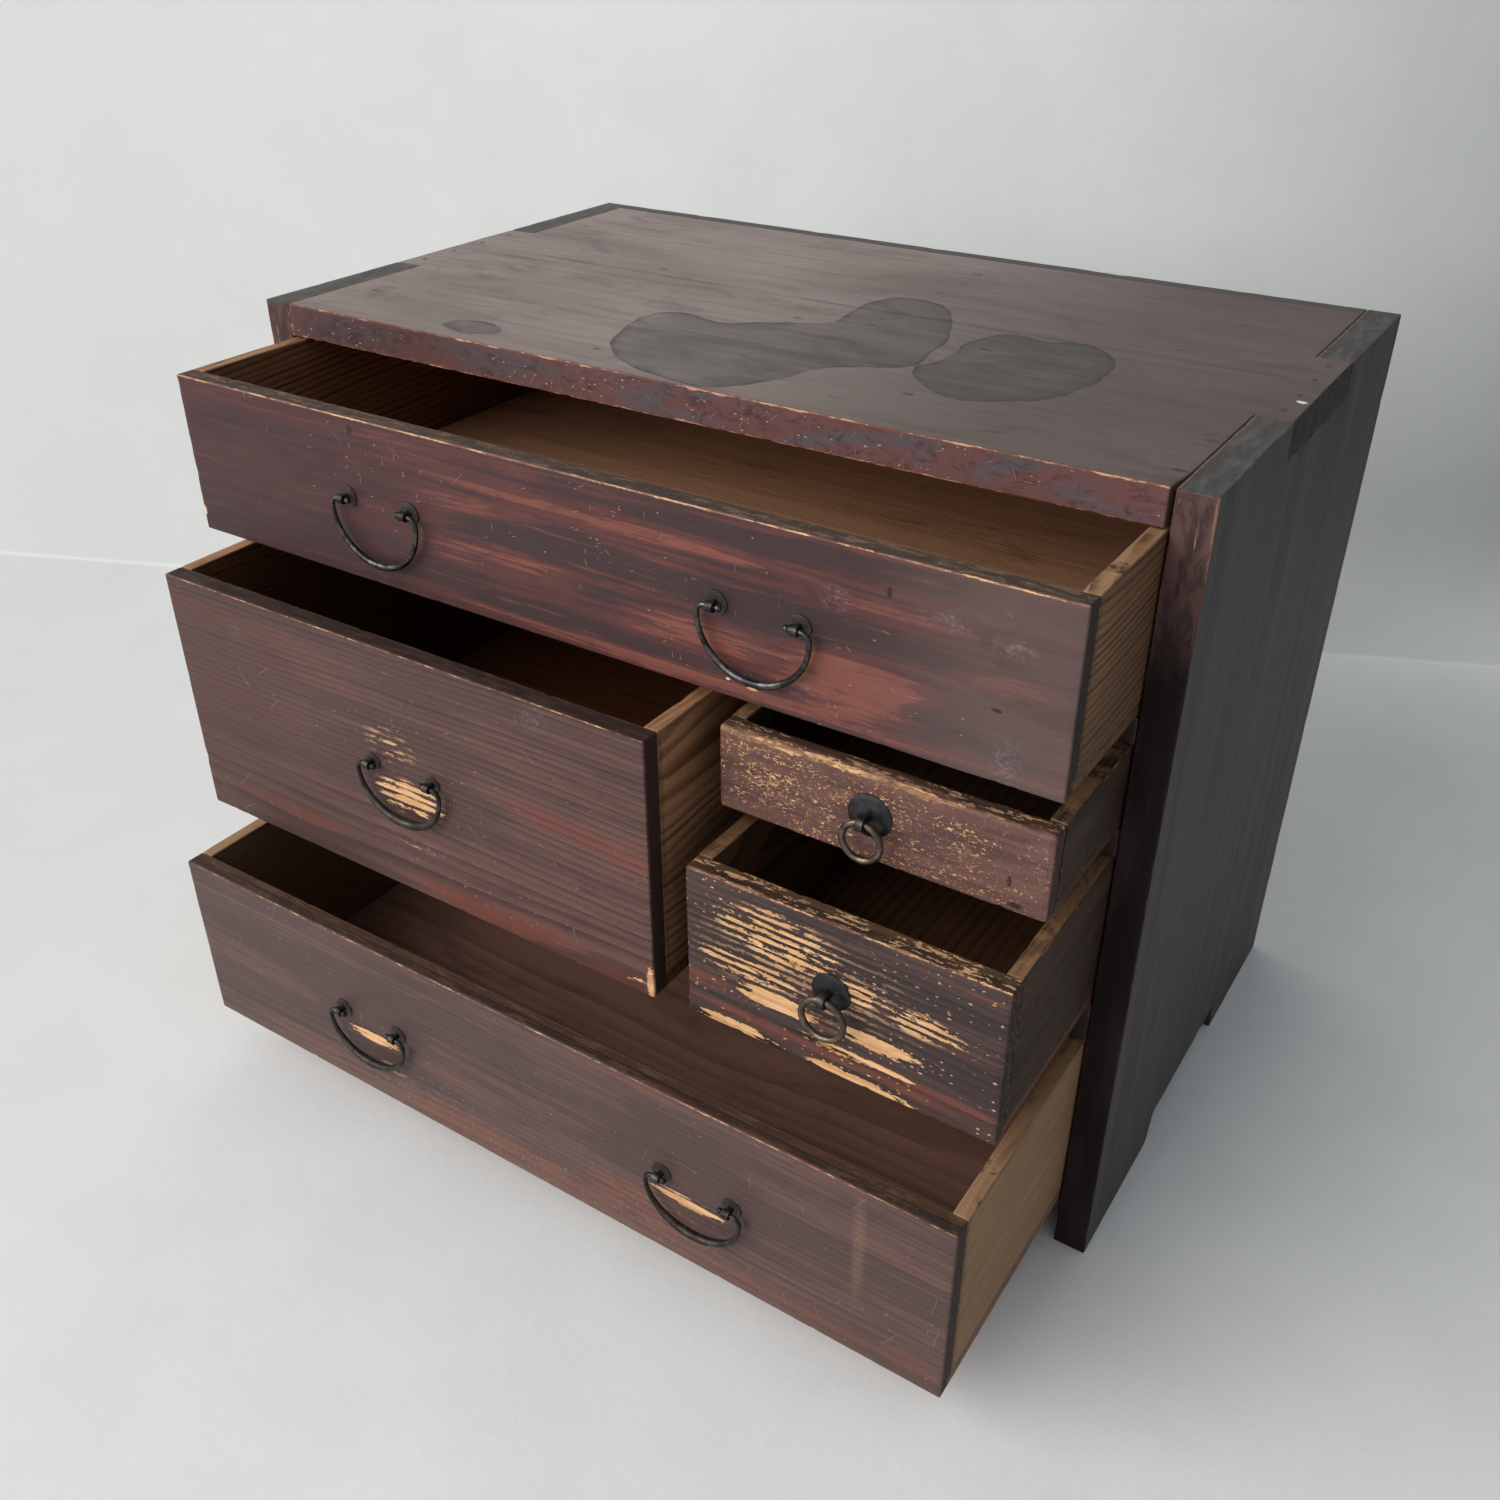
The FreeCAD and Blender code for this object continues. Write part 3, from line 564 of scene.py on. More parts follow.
relief = grain["fibre"] * 0.2 + grain["late"] * 0.15 - crack * 1 - fleck * 0.4
relief = relief - nicks * front * 0.8 - worn * 0.3
settle(material, coat, rough, relief, deep=0.0004, sheen=0.15)
top_plank = make_piece("top_plank", block, material, "carcass", "top_board")
depths = top_plank.data.attributes.new("water_depth", "FLOAT", "POINT")
for spot, v in zip(depths.data, top_plank.data.vertices):
    spot.value = max(depth_in(outline, v.co.xy) for outline in outlines)


# Shelves, divider and bottom board: plain softwood boards let into grooves in the sides.
# Only their front edges show. These are stained dark, and worn pale along the arrises.
SHELF_SPANS = (0.008, 0.02, 0.02)


def carcass_timber(node, axis, width):
    material, place, low, high, grain, inset = board_finish(
        node, "timber", axis, pith_y=0.05, pith_z=0.8, width=width, wander=0.04)
    front = (place.axes()[1] - low.y).rise(0.01, 0.0004)
    rubbed = inset + (cloud(place, (120, 200, 200), 3, 0.65) - 0.5) * 0.004
    worn = rubbed.rise(0.0006, -0.0004) * front
    coat = layers(
        (0.24, 0.14, 0.08),
        (grain["late"] * 0.75, (0.11, 0.055, 0.03)),
        (grain["flow"].rise(0.45, 0.7) * 0.5, (0.13, 0.075, 0.045)),
        (front, blend(grain["flow"].rise(0.4, 0.62), (0.03, 0.017, 0.016), (0.07, 0.034, 0.03))),
        (worn * 0.8, (0.42, 0.26, 0.17)))
    relief = grain["late"] * 0.4 + grain["fibre"] * 0.3 - worn * 0.3
    return settle(material, coat, grain["fibre"] * 0.2 + 0.5, relief, deep=0.0004, sheen=0.25)


for node, axis, width in (
    ("bottom_board", "x", 0.008), ("shelf_lower", "x", 0.006), ("divider", "z", 0.006),
    ("shelf_small", "x", 0.006), ("shelf_upper", "x", 0.005),
):
    low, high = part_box(node)
    low.x, high.x = max(low.x, body_low.x), min(high.x, body_high.x)
    if node == "shelf_small":
        low.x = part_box("divider")[1].x
    if node == "divider":
        low.z, high.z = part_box("shelf_lower")[1].z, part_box("shelf_upper")[0].z
    block = sawn_block(low, high, SHELF_SPANS)
    ease(block, round_over=0.0009, knock=0.0004, shift=low.z * 40)
    make_piece(
        node.replace("_board", "") + "_plank", block, carcass_timber(node, axis, width), "carcass",
        node)


# Back: two wide softwood boards laid edge to edge between the sides, and nailed to the shelves.
# They never had lacquer, so they are weathered, scraped and grimy along their edges.
BACK_SPANS = (0.008, 0.02, 0.01)
for node, shift in (("back_board_lower", 0), ("back_board_upper", 0.9)):
    low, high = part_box(node)
    block = sawn_block(low, high, BACK_SPANS)
    ease(block, round_over=0.001, knock=0.0004, shift=shift)
    middle = (low.z + high.z) / 2
    material, place, low, high, grain, inset = board_finish(
        node, "timber", "x", pith_y=0.3 + shift * 0.05, pith_z=middle + 0.02 - shift * 0.09,
        width=0.0034, wander=0.02)
    x, y, z = place.axes()
    damp = cloud(place, (3, 3, 5), 4, 0.6, 0.5)
    knot = use(blot, place, centre=(0.13 - shift * 0.35, 0.26, middle + 0.03), half=(0.011, 1, 0.008),
               streak=(90, 90, 90), ragged=0.5)["spread"]
    scrape = use(scratches, join_axes(x, z, y), cells=26, reach=0.42, fine=0.01, share=0.22)["scratch"]
    top_edge = at_limit(z, top_high.z)
    grime = (inset + (cloud(place, (30, 30, 60), 3) - 0.5) * 0.012).rise(0.01, 0)
    timber = layers(
        (0.25, 0.165, 0.105),
        (grain["late"] * 0.8, (0.115, 0.07, 0.044)),
        (grain["fibre"].rise(0.46, 0.72) * 0.35, (0.095, 0.06, 0.04)),
        (grain["flow"].rise(0.4, 0.68) * 0.6, (0.105, 0.078, 0.06)),
        (damp.rise(0.5, 0.66) * 0.5, (0.075, 0.055, 0.044)),
        (knot.rise(1.6, 0.9) * 0.8, (0.05, 0.026, 0.016)),
        (scrape * 0.45, (0.34, 0.26, 0.19)),
        (top_edge, (0.06, 0.055, 0.05)),
        (grime * 0.55, (0.045, 0.034, 0.028)))
    relief = grain["late"] * 0.5 + grain["fibre"] * 0.35 - scrape * 0.6
    settle(material, timber, grain["fibre"] * 0.2 + 0.58, relief, deep=0.0005)
    make_piece(node.replace("board", "plank"), block, material, "carcass", node)


# Nails of the carcass: square-cut forged iron, dark with rust.
# They are driven flush through the top's fingers and the back boards.
def iron(name, dark, light, polish, rust, rough=0.42, metal=0.85, deep=0.0003):
    """Forged iron: dark scale, rubbed brighter where fingers reach, and freckled with rust."""
    material, place = new_finish(name)
    scale = cloud(place, 140, 4, 0.6)
    pit = cloud(place, 520, 3, 0.6)
    freckle = cloud(place, 210, 4, 0.65, shift=5).rise(0.54, 0.68) * rust
    colour = layers(dark, (scale.rise(0.4, 0.66) * polish, light), (freckle, (0.115, 0.056, 0.03)))
    roughness = scale * -0.25 + (rough + 0.12) + freckle * 0.25 + pit * 0.08
    settle(material, colour, roughness, pit * 0.6 + scale * 0.4, deep)
    shader = material.node_tree.nodes["Principled BSDF"]
    feed(material.node_tree, shader.inputs["Metallic"], freckle * -metal + metal)
    return material


def dress(node, material):
    """Gives a CAD node its finish."""
    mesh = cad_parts[node].data
    for number in range(len(mesh.materials)):
        mesh.materials[number] = material


dress("carcass_nails", iron(
    "rusted nail iron", dark=(0.03, 0.024, 0.021), light=(0.07, 0.055, 0.047), polish=0.6, rust=0.8))


# Drawer fronts: straight-grained softwood under old lacquer. The lacquer thins to red-brown along the grain,
# flakes to bare wood where hands and iron pulls have rubbed, and is worn off the arrises.
DRAWERS = ("top", "middle", "small_upper", "small_lower", "bottom")
FRONT_THICK = 0.0125
FRONT_SPANS = (0.003, 0.02, 0.006)
SEAM_DEEP = 0.0062
SEAM_WIDE = 0.0008
SEAM_DROP = 0.001
CHEWED = 0.0075
CHEW_CUTS = (0.002, 0.004, 0.006)
CHEW_COARSE = 95
CHEW_FINE = 330
BARE_PALE = (0.74, 0.44, 0.225)
BARE_GOLD = (0.56, 0.29, 0.11)
BARE_LATE = (0.38, 0.18, 0.075)

# Angular flakes of lacquer over a face whose own plane is x, y. Each holds to the wood by its own strength.
shards, place, cells = effect("lacquer shards", ["hold"], cells=400)
jagged = (cloud(place, (420, 900, 0), 3, 0.65) - 0.5) * 2.6
spread = place.vector("MULTIPLY", join_axes(cells * 0.32, cells, cells * 0))
spread = spread.vector("ADD", join_axes(jagged, jagged * -0.7, jagged * 0))
distance, chances, heart = cells_over(spread)
deliver(shards, hold=chances.axes()[0])


def strongest(masks):
    first, *others = masks
    for mask in others:
        first = first.most(mask)
    return first


def within(place, zones):
    """How strongly a place on a front lies in fading ovals, given as x, z, half x, half z and strength."""
    return strongest(
        use(blot, place, centre=(x, 0, z), half=(half_x, 9, half_z), ragged=0)["spread"].rise(1.3, 0.3)
        * strength for x, z, half_x, half_z, strength in zones)


def patches(place, zones, ragged):
    """Ragged patches on a front, given as x, z, half x, half z."""
    return strongest(
        use(blot, place, centre=(x, 0, z), half=(half_x, 9, half_z), streak=(620, 620, 1300),
            ragged=ragged)["blot"] for x, z, half_x, half_z in zones)


def dimmer(tint, share):
    return tuple(part * share for part in tint)


def front_finish(
        node, grain, dark, warm, red, line, specks, lip_wear, edge_wear, rim, lean=0, thready=0.34,
        red_zones=(), dark_zones=(), washes=(), bare_zones=(), flecked=(), scatter=0, chip_zones=(),
        scuff_zones=(), smudges=(), bare_chips=(), lip_fade=None, rim_inner=None, rim_flake=0, sheen=0.28):
    """Lacquer by its colours and its worn places. Zones are ovals on the face, in metres."""
    material, place, low, high, ring, inset = board_finish(node, "lacquer", "x", **grain)
    x, y, z = place.axes()
    face = join_axes(x, z, y)
    depth = y - low.y

    # The coat itself: dark, warm and red along the grain, with smoke and grain lines over it.
    threads = cloud(place, (9, 210, 210), 6, 0.7, 0.45, 17)
    tone = ring["flow"] * (0.84 - thready) + threads * thready + ring["fibre"] * 0.16 + lean
    if red_zones:
        tone = tone + within(place, red_zones)
    if dark_zones:
        tone = tone - within(place, dark_zones)
    smoke = cloud(place, (60, 90, 210), 5, 0.66, 0.6, 61)
    film = cloud(place, (26, 26, 70), 5, 0.62, 0.4, 3)
    coat = layers(
        dark,
        (tone.rise(0.44, 0.52), warm),
        (tone.rise(0.55, 0.576) * 0.85, red),
        (threads.rise(0.6, 0.64) * 0.4, dimmer(red, 0.9)),
        (smoke.rise(0.52, 0.7) * 0.4, dimmer(dark, 0.75)),
        *((within(place, [zone]), tint) for zone, tint in washes),
        (film.rise(0.5, 0.76) * 0.35, dimmer(dark, 0.6)),
        (ring["late"] * line, dimmer(dark, 0.45)),
        (ring["fibre"].rise(0.5, 0.78) * 0.3, dimmer(dark, 0.5)))

    # Scratches, nicks, scuffs and smudges.
    patchy = cloud(place, (10, 10, 18), 3, 0.5, 0.4, 23).rise(0.45, 0.66)
    scratch = use(scratches, face, cells=44, reach=0.44, fine=0.009, share=patchy * 0.3)["scratch"]
    chip_share = patchy * specks + 0.003
    if chip_zones:
        chip_share = chip_share + within(place, chip_zones)
    nick = use(scratches, face, cells=210, reach=0.42, fine=0.045, share=chip_share * 0.8)["scratch"]
    chip = use(chips, face, cells=520, share=chip_share * 0.5, size=0.17)["chip"].most(nick)
    coat = layers(coat, (scratch * 0.6, (0.3, 0.24, 0.23)), (chip * 0.75, (0.4, 0.27, 0.21)))
    if scuff_zones:
        rub = cloud(place, (230, 230, 330), 5, 0.72, 1.5, 71)
        coat = blend(within(place, scuff_zones) * rub.rise(0.47, 0.66) * 0.42, coat, (0.3, 0.27, 0.29))
    if smudges:
        coat = blend(patches(place, smudges, 2.2) * 0.8, coat, (0.014, 0.01, 0.011))

    # Bare wood where the lacquer has come off the face.
    golden = cloud(place, (30, 60, 130), 4, 0.6, 0.5, 53).rise(0.42, 0.66)
    bare_wood = layers(
        BARE_PALE,
        (golden * 0.8, BARE_GOLD),
        (ring["late"].rise(0.1, 0.9) * 0.65, BARE_LATE),
        (ring["fibre"].rise(0.48, 0.74) * 0.55, (0.24, 0.115, 0.052)))
    bare = chip * 0
    grit = cloud(place, (360, 560, 980), 3, 0.6, 0.4, 13)
    if flecked:
        dash = cloud(place, (480, 480, 900), 4, 0.7, 0.9, 13)
        band = cloud(place, (40, 12, 75), 5, 0.66, 0.8, 31)
        bare = (dash + (band - 0.5) * 0.3 + within(place, flecked)).rise(0.622, 0.642)
    if bare_zones:
        zone = within(place, bare_zones)
        flake = cloud(place, (36, 60, 300), 8, 0.72, 0.3, 5)
        gaps = cloud(place, (46, 40, 70), 5, 0.68, 0.5, 83)
        hold = use(shards, face, cells=430)["hold"]
        ragged = flake * 0.4 + gaps * 0.24 + grit * 0.14 + hold * 0.11 - ring["late"] * 0.19 + zone
        coat = blend(zone * 6, coat, dimmer(dark, 0.4))
        bare = bare.most(ragged.rise(0.466, 0.474) * zone.rise(0.01, 0.04))
    if scatter:
        thin = cloud(place, (18, 18, 26), 3, 0.6, 0.4, 37).rise(0.36, 0.64)
        bare = bare.most(use(chips, face, cells=360, share=thin * scatter, size=0.16)["chip"])
    if bare_chips:
        bare = bare.most(patches(place, bare_chips, 1.9))
    bare = bare * depth.rise(0.003, 0.0015)

    # The top edge and ends, the bare inside, and the wear along the arrises.
    half_wide = (high.x - low.x) / 2
    side = depth.rise(0.001, 0.0022)
    inside = (depth - FRONT_THICK).rise(-0.0012, -0.0004)
    end = at_limit((x - (low.x + high.x) / 2).math("ABSOLUTE"), half_wide)
    if rim_inner:
        rim = blend((depth - (SEAM_DEEP + SEAM_WIDE / 2)).rise(-0.0003, 0.0003), rim, rim_inner)
    fuzz = cloud(place, (45, 260, 260), 4, 0.62, shift=9)
    peel = cloud(place, (60, 300, 300), 5, 0.68, 0.3, 41) + (grit - 0.5) * 0.3
    edge_tint = layers(
        rim,
        (fuzz.rise(0.42, 0.72) * 0.25, dimmer(BARE_LATE, 0.5)),
        (peel.rise(0.55, 0.57) * rim_flake, dimmer(BARE_PALE, 0.85)),
        (end * 0.85, dimmer(dark, 0.45)))
    uneven = cloud(place, (70, 320, 320), 5, 0.7, shift=2) - 0.5
    lip = depth.most(z * -1 + high.z) + (uneven + (grit - 0.5) * 0.7) * lip_wear * 2.6
    if lip_fade:
        lip = lip + x.rise(*lip_fade) * lip_wear * 0.9
    broken = cloud(place, (24, 0, 0), 4, 0.6, shift=40).rise(0.4, 0.52) * 0.75 + 0.25
    lip_bare = lip.rise(lip_wear * 1.02, lip_wear * 0.92) * broken
    worn = (inset + uneven * edge_wear * 3.4).rise(edge_wear * 0.25, -edge_wear * 0.35) * inside.rest()
    coat = layers(
        coat,
        (bare, bare_wood),
        (side, edge_tint),
        (inside, blend(ring["late"] * 0.7, (0.24, 0.135, 0.074), (0.12, 0.058, 0.032))),
        (lip.rise(lip_wear * 2.4, lip_wear * 0.9) * 0.55, dimmer(red, 0.9)),
        (lip_bare, blend(fuzz.rise(0.49, 0.54) * 0.8, dimmer(BARE_PALE, 0.9), (0.2, 0.095, 0.05))),
        (worn * 0.8, (0.44, 0.27, 0.17)))
    roughness = ring["fibre"] * 0.12 + film * 0.12 + 0.34
    roughness = roughness + bare * 0.25 + (lip_bare + worn) * 0.15 + inside * 0.2 + side * 0.25 + end * 0.1
    relief = ring["late"] * (0.2 + line * 0.5) + ring["fibre"] * 0.12 - scratch * 0.35 - bare * 0.55
    relief = relief - chip * 0.4 - (lip_bare + worn) * 0.35 + fuzz * side * 0.4
    return settle(material, coat, roughness, relief, deep=0.0005, sheen=sheen)


def split_top_edge(block, low):
    """Cuts the dark line along a front's top edge, where its facing board meets the one behind."""
    seam = (low.y + SEAM_DEEP, low.y + SEAM_DEEP + SEAM_WIDE)
    for y in seam:
        cut_across(block, y)
    stretch_faces(block, facing(block, UP, *seam), (0, 0, -SEAM_DROP))


def chew_top_edge(block, low, high, bite):
    """Breaks down the arris between a front's face and its top edge."""
    for deep in CHEW_CUTS:
        cut_across(block, low.y + deep)
    for v in block.verts:
        reach = (v.co.y - low.y) + (high.z - v.co.z)
        if reach < CHEWED:
            rough = 0.35 + 0.65 * noise.noise(v.co * CHEW_COARSE) + 0.5 * noise.noise(v.co * CHEW_FINE)
            loss = bite * max(0, rough) * (1 - reach / CHEWED)
            v.co.z -= loss
            v.co.y += loss / 2


def mount_front(drawer, knock, shift, two_boards=False, bite=0, round_over=0.0009, **finish):
    node = f"drawer_{drawer}_front"
    low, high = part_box(node)
    block = sawn_block(low, high, FRONT_SPANS)
    ease(block, round_over, knock, shift)
    if bite:
        chew_top_edge(block, low, high, bite)
    if two_boards:
        split_top_edge(block, low)
    make_piece(
        f"{drawer}_drawer_face", block, front_finish(node, **finish), f"drawer_{drawer}",
        node)


mount_front(
    "top", knock=0.0005, shift=1,
    grain=dict(pith_y=-0.05, pith_z=0.415, width=0.0065, wander=0.022), line=0.22, lean=-0.012, thready=0.5,
    dark=(0.046, 0.024, 0.025), warm=(0.1, 0.033, 0.03), red=(0.21, 0.068, 0.047),
    red_zones=[(0.175, 0.401, 0.046, 0.017, 0.18), (0.085, 0.404, 0.06, 0.014, 0.09),
               (0.205, 0.443, 0.08, 0.007, 0.11), (-0.045, 0.41, 0.07, 0.014, 0.07),
               (0.14, 0.381, 0.16, 0.005, 0.13), (0.252, 0.424, 0.03, 0.007, 0.12),
               (0.03, 0.452, 0.12, 0.007, 0.08), (-0.06, 0.44, 0.05, 0.006, 0.08)],
    dark_zones=[(0.235, 0.398, 0.04, 0.014, 0.12), (0.02, 0.388, 0.1, 0.007, 0.12),
                (-0.01, 0.43, 0.06, 0.01, 0.12), (0.15, 0.428, 0.08, 0.007, 0.12)],
    washes=[((-0.26, 0.42, 0.2, 0.2, 0.65), (0.048, 0.021, 0.024)),
            ((0.275, 0.42, 0.085, 0.2, 0.6), (0.138, 0.09, 0.082))],
    specks=0.09, chip_zones=[(0.02, 0.44, 0.14, 0.03, 0.04), (0.2, 0.4, 0.07, 0.02, 0.03)],
    lip_wear=0.0007, edge_wear=0.0008, rim=(0.036, 0.021, 0.016), rim_flake=0.15,
    scuff_zones=[(0.1636, 0.4438, 0.01, 0.007, 0.9), (0.2507, 0.4433, 0.012, 0.006, 0.7),
                 (0.219, 0.447, 0.014, 0.006, 0.7), (0.2534, 0.385, 0.008, 0.016, 0.8),
                 (0.145, 0.392, 0.008, 0.006, 0.9)],
    smudges=[(0.2465, 0.4112, 0.0026, 0.0012), (0.191, 0.4535, 0.0012, 0.003),
             (-0.141, 0.464, 0.002, 0.003)],
    bare_chips=[(0.119, 0.383, 0.003, 0.0009), (0.105, 0.3845, 0.0012, 0.0008),
                (-0.2806, 0.387, 0.001, 0.003)])
mount_front(
    "middle", knock=0.0004, shift=2,
    grain=dict(pith_y=-0.157, pith_z=0.19, width=0.004, wander=0.012), line=0.75,
    dark=(0.079, 0.039, 0.034), warm=(0.124, 0.057, 0.047), red=(0.165, 0.049, 0.035),
    red_zones=[(-0.2, 0.212, 0.07, 0.012, 0.13), (-0.03, 0.202, 0.08, 0.009, 0.13),
               (0.05, 0.197, 0.035, 0.007, 0.13)],
    dark_zones=[(-0.09, 0.285, 0.075, 0.045, 0.12)],
    washes=[((-0.27, 0.28, 0.12, 0.3, 0.65), (0.07, 0.029, 0.024)),
            ((-0.2, 0.212, 0.06, 0.012, 0.6), (0.11, 0.03, 0.02)),
            ((-0.02, 0.2, 0.08, 0.01, 0.5), (0.11, 0.03, 0.02))],
    bare_zones=[(-0.094, 0.262, 0.028, 0.013, 0.1), (-0.104, 0.296, 0.026, 0.018, 0.03),
                (-0.09, 0.23, 0.026, 0.005, 0.03), (0.066, 0.199, 0.012, 0.01, 0.06)],
    specks=0.03, chip_zones=[(-0.09, 0.285, 0.07, 0.05, 0.08), (-0.05, 0.214, 0.1, 0.016, 0.09)],
    lip_wear=0.0005, edge_wear=0.0007, rim=(0.022, 0.011, 0.01),
    scuff_zones=[(0.0077, 0.349, 0.009, 0.009, 0.9), (-0.225, 0.335, 0.008, 0.007, 0.7),
                 (-0.086, 0.231, 0.02, 0.006, 0.9)],
    bare_chips=[(0.077, 0.201, 0.0026, 0.012)])
mount_front(
    "small_upper", knock=0.0007, shift=3, bite=0.0022, round_over=0.0022,
    grain=dict(pith_y=-0.05, pith_z=0.3, width=0.0034, wander=0.01), line=0.3,
    dark=(0.092, 0.045, 0.041), warm=(0.146, 0.07, 0.061), red=(0.195, 0.084, 0.068),
    flecked=[(0.128, 0.335, 0.05, 0.04, 0.06), (0.18, 0.33, 0.11, 0.05, 0.042),
             (0.18, 0.312, 0.09, 0.006, 0.06)],
    specks=0.1, lip_wear=0.0034, lip_fade=(0.215, 0.245), edge_wear=0.0012,
    rim=(0.04, 0.022, 0.015), rim_flake=0.6, sheen=0.2,
    smudges=[(0.266, 0.3135, 0.0035, 0.0016), (0.262, 0.326, 0.0012, 0.003)])
mount_front(
    "small_lower", knock=0.0006, shift=4, two_boards=True, bite=0.0009, round_over=0.0012,
    grain=dict(pith_y=-0.132, pith_z=0.165, width=0.0036, wander=0.01), line=0.6, lean=-0.035,
    dark=(0.048, 0.032, 0.031), warm=(0.078, 0.046, 0.042), red=(0.16, 0.056, 0.04),
    red_zones=[(0.235, 0.208, 0.06, 0.008, 0.12), (0.16, 0.206, 0.07, 0.006, 0.11),
               (0.108, 0.222, 0.02, 0.008, 0.11)],
    bare_zones=[(0.156, 0.266, 0.042, 0.02, 0.066), (0.138, 0.24, 0.034, 0.009, 0.08),
                (0.156, 0.2245, 0.024, 0.006, 0.21), (0.216, 0.2255, 0.022, 0.0055, 0.2),
                (0.197, 0.2105, 0.04, 0.0028, 0.2), (0.238, 0.249, 0.028, 0.009, 0.06),
                (0.203, 0.2525, 0.012, 0.006, 0.13), (0.13, 0.195, 0.036, 0.005, 0.14),
                (0.205, 0.194, 0.03, 0.006, 0.18), (0.17, 0.25, 0.1, 0.046, 0.024)],
    specks=0.1, scatter=0.42, lip_wear=0.0011, edge_wear=0.0012, sheen=0.2,
    rim=(0.03, 0.018, 0.014), rim_inner=(0.075, 0.042, 0.022), rim_flake=0.8)
mount_front(
    "bottom", knock=0.0004, shift=5, two_boards=True,
    grain=dict(pith_y=-0.205, pith_z=0.02, width=0.0042, wander=0.014), line=0.45, lean=-0.01,
    dark=(0.078, 0.044, 0.04), warm=(0.118, 0.062, 0.053), red=(0.175, 0.068, 0.048),
    red_zones=[(-0.03, 0.05, 0.1, 0.012, 0.15), (0.09, 0.062, 0.05, 0.014, 0.17),
               (0.2, 0.046, 0.08, 0.008, 0.13), (-0.19, 0.052, 0.06, 0.008, 0.12),
               (0.262, 0.05, 0.022, 0.01, 0.16)],
    dark_zones=[(0.12, 0.105, 0.06, 0.03, 0.12), (-0.12, 0.1, 0.05, 0.025, 0.12)],
    washes=[((-0.02, 0.04, 0.3, 0.02, 0.5), (0.15, 0.08, 0.058)),
            ((0.229, 0.122, 0.0042, 0.05, 0.55), (0.19, 0.11, 0.072)),
            ((0.25, 0.045, 0.1, 0.02, 0.5), (0.09, 0.042, 0.036))],
    bare_zones=[(0.12, 0.0855, 0.024, 0.004, 0.26), (-0.125, 0.0865, 0.022, 0.0045, 0.19),
                (-0.11, 0.066, 0.014, 0.004, 0.05)],
    specks=0.035, chip_zones=[(0.02, 0.048, 0.16, 0.014, 0.26), (-0.09, 0.062, 0.06, 0.018, 0.3),
                              (0.11, 0.07, 0.06, 0.025, 0.18), (-0.12, 0.088, 0.05, 0.02, 0.2)],
    lip_wear=0.0005, edge_wear=0.0007,
    rim=(0.03, 0.017, 0.014), rim_inner=(0.055, 0.026, 0.017), rim_flake=0.06,
    scuff_zones=[(-0.1, 0.06, 0.012, 0.006, 0.6)])


# Drawer boxes: thin sides and back of bare softwood pegged to the front, over a bottom board under them.
# The two small drawers are stained dark outside. The others show tan wood with slanting grain.
# Inside the top, middle and bottom drawers the sides' inner faces are painted dark, as painted shade.
BOX_SPANS = (0.008, 0.008, 0.01)


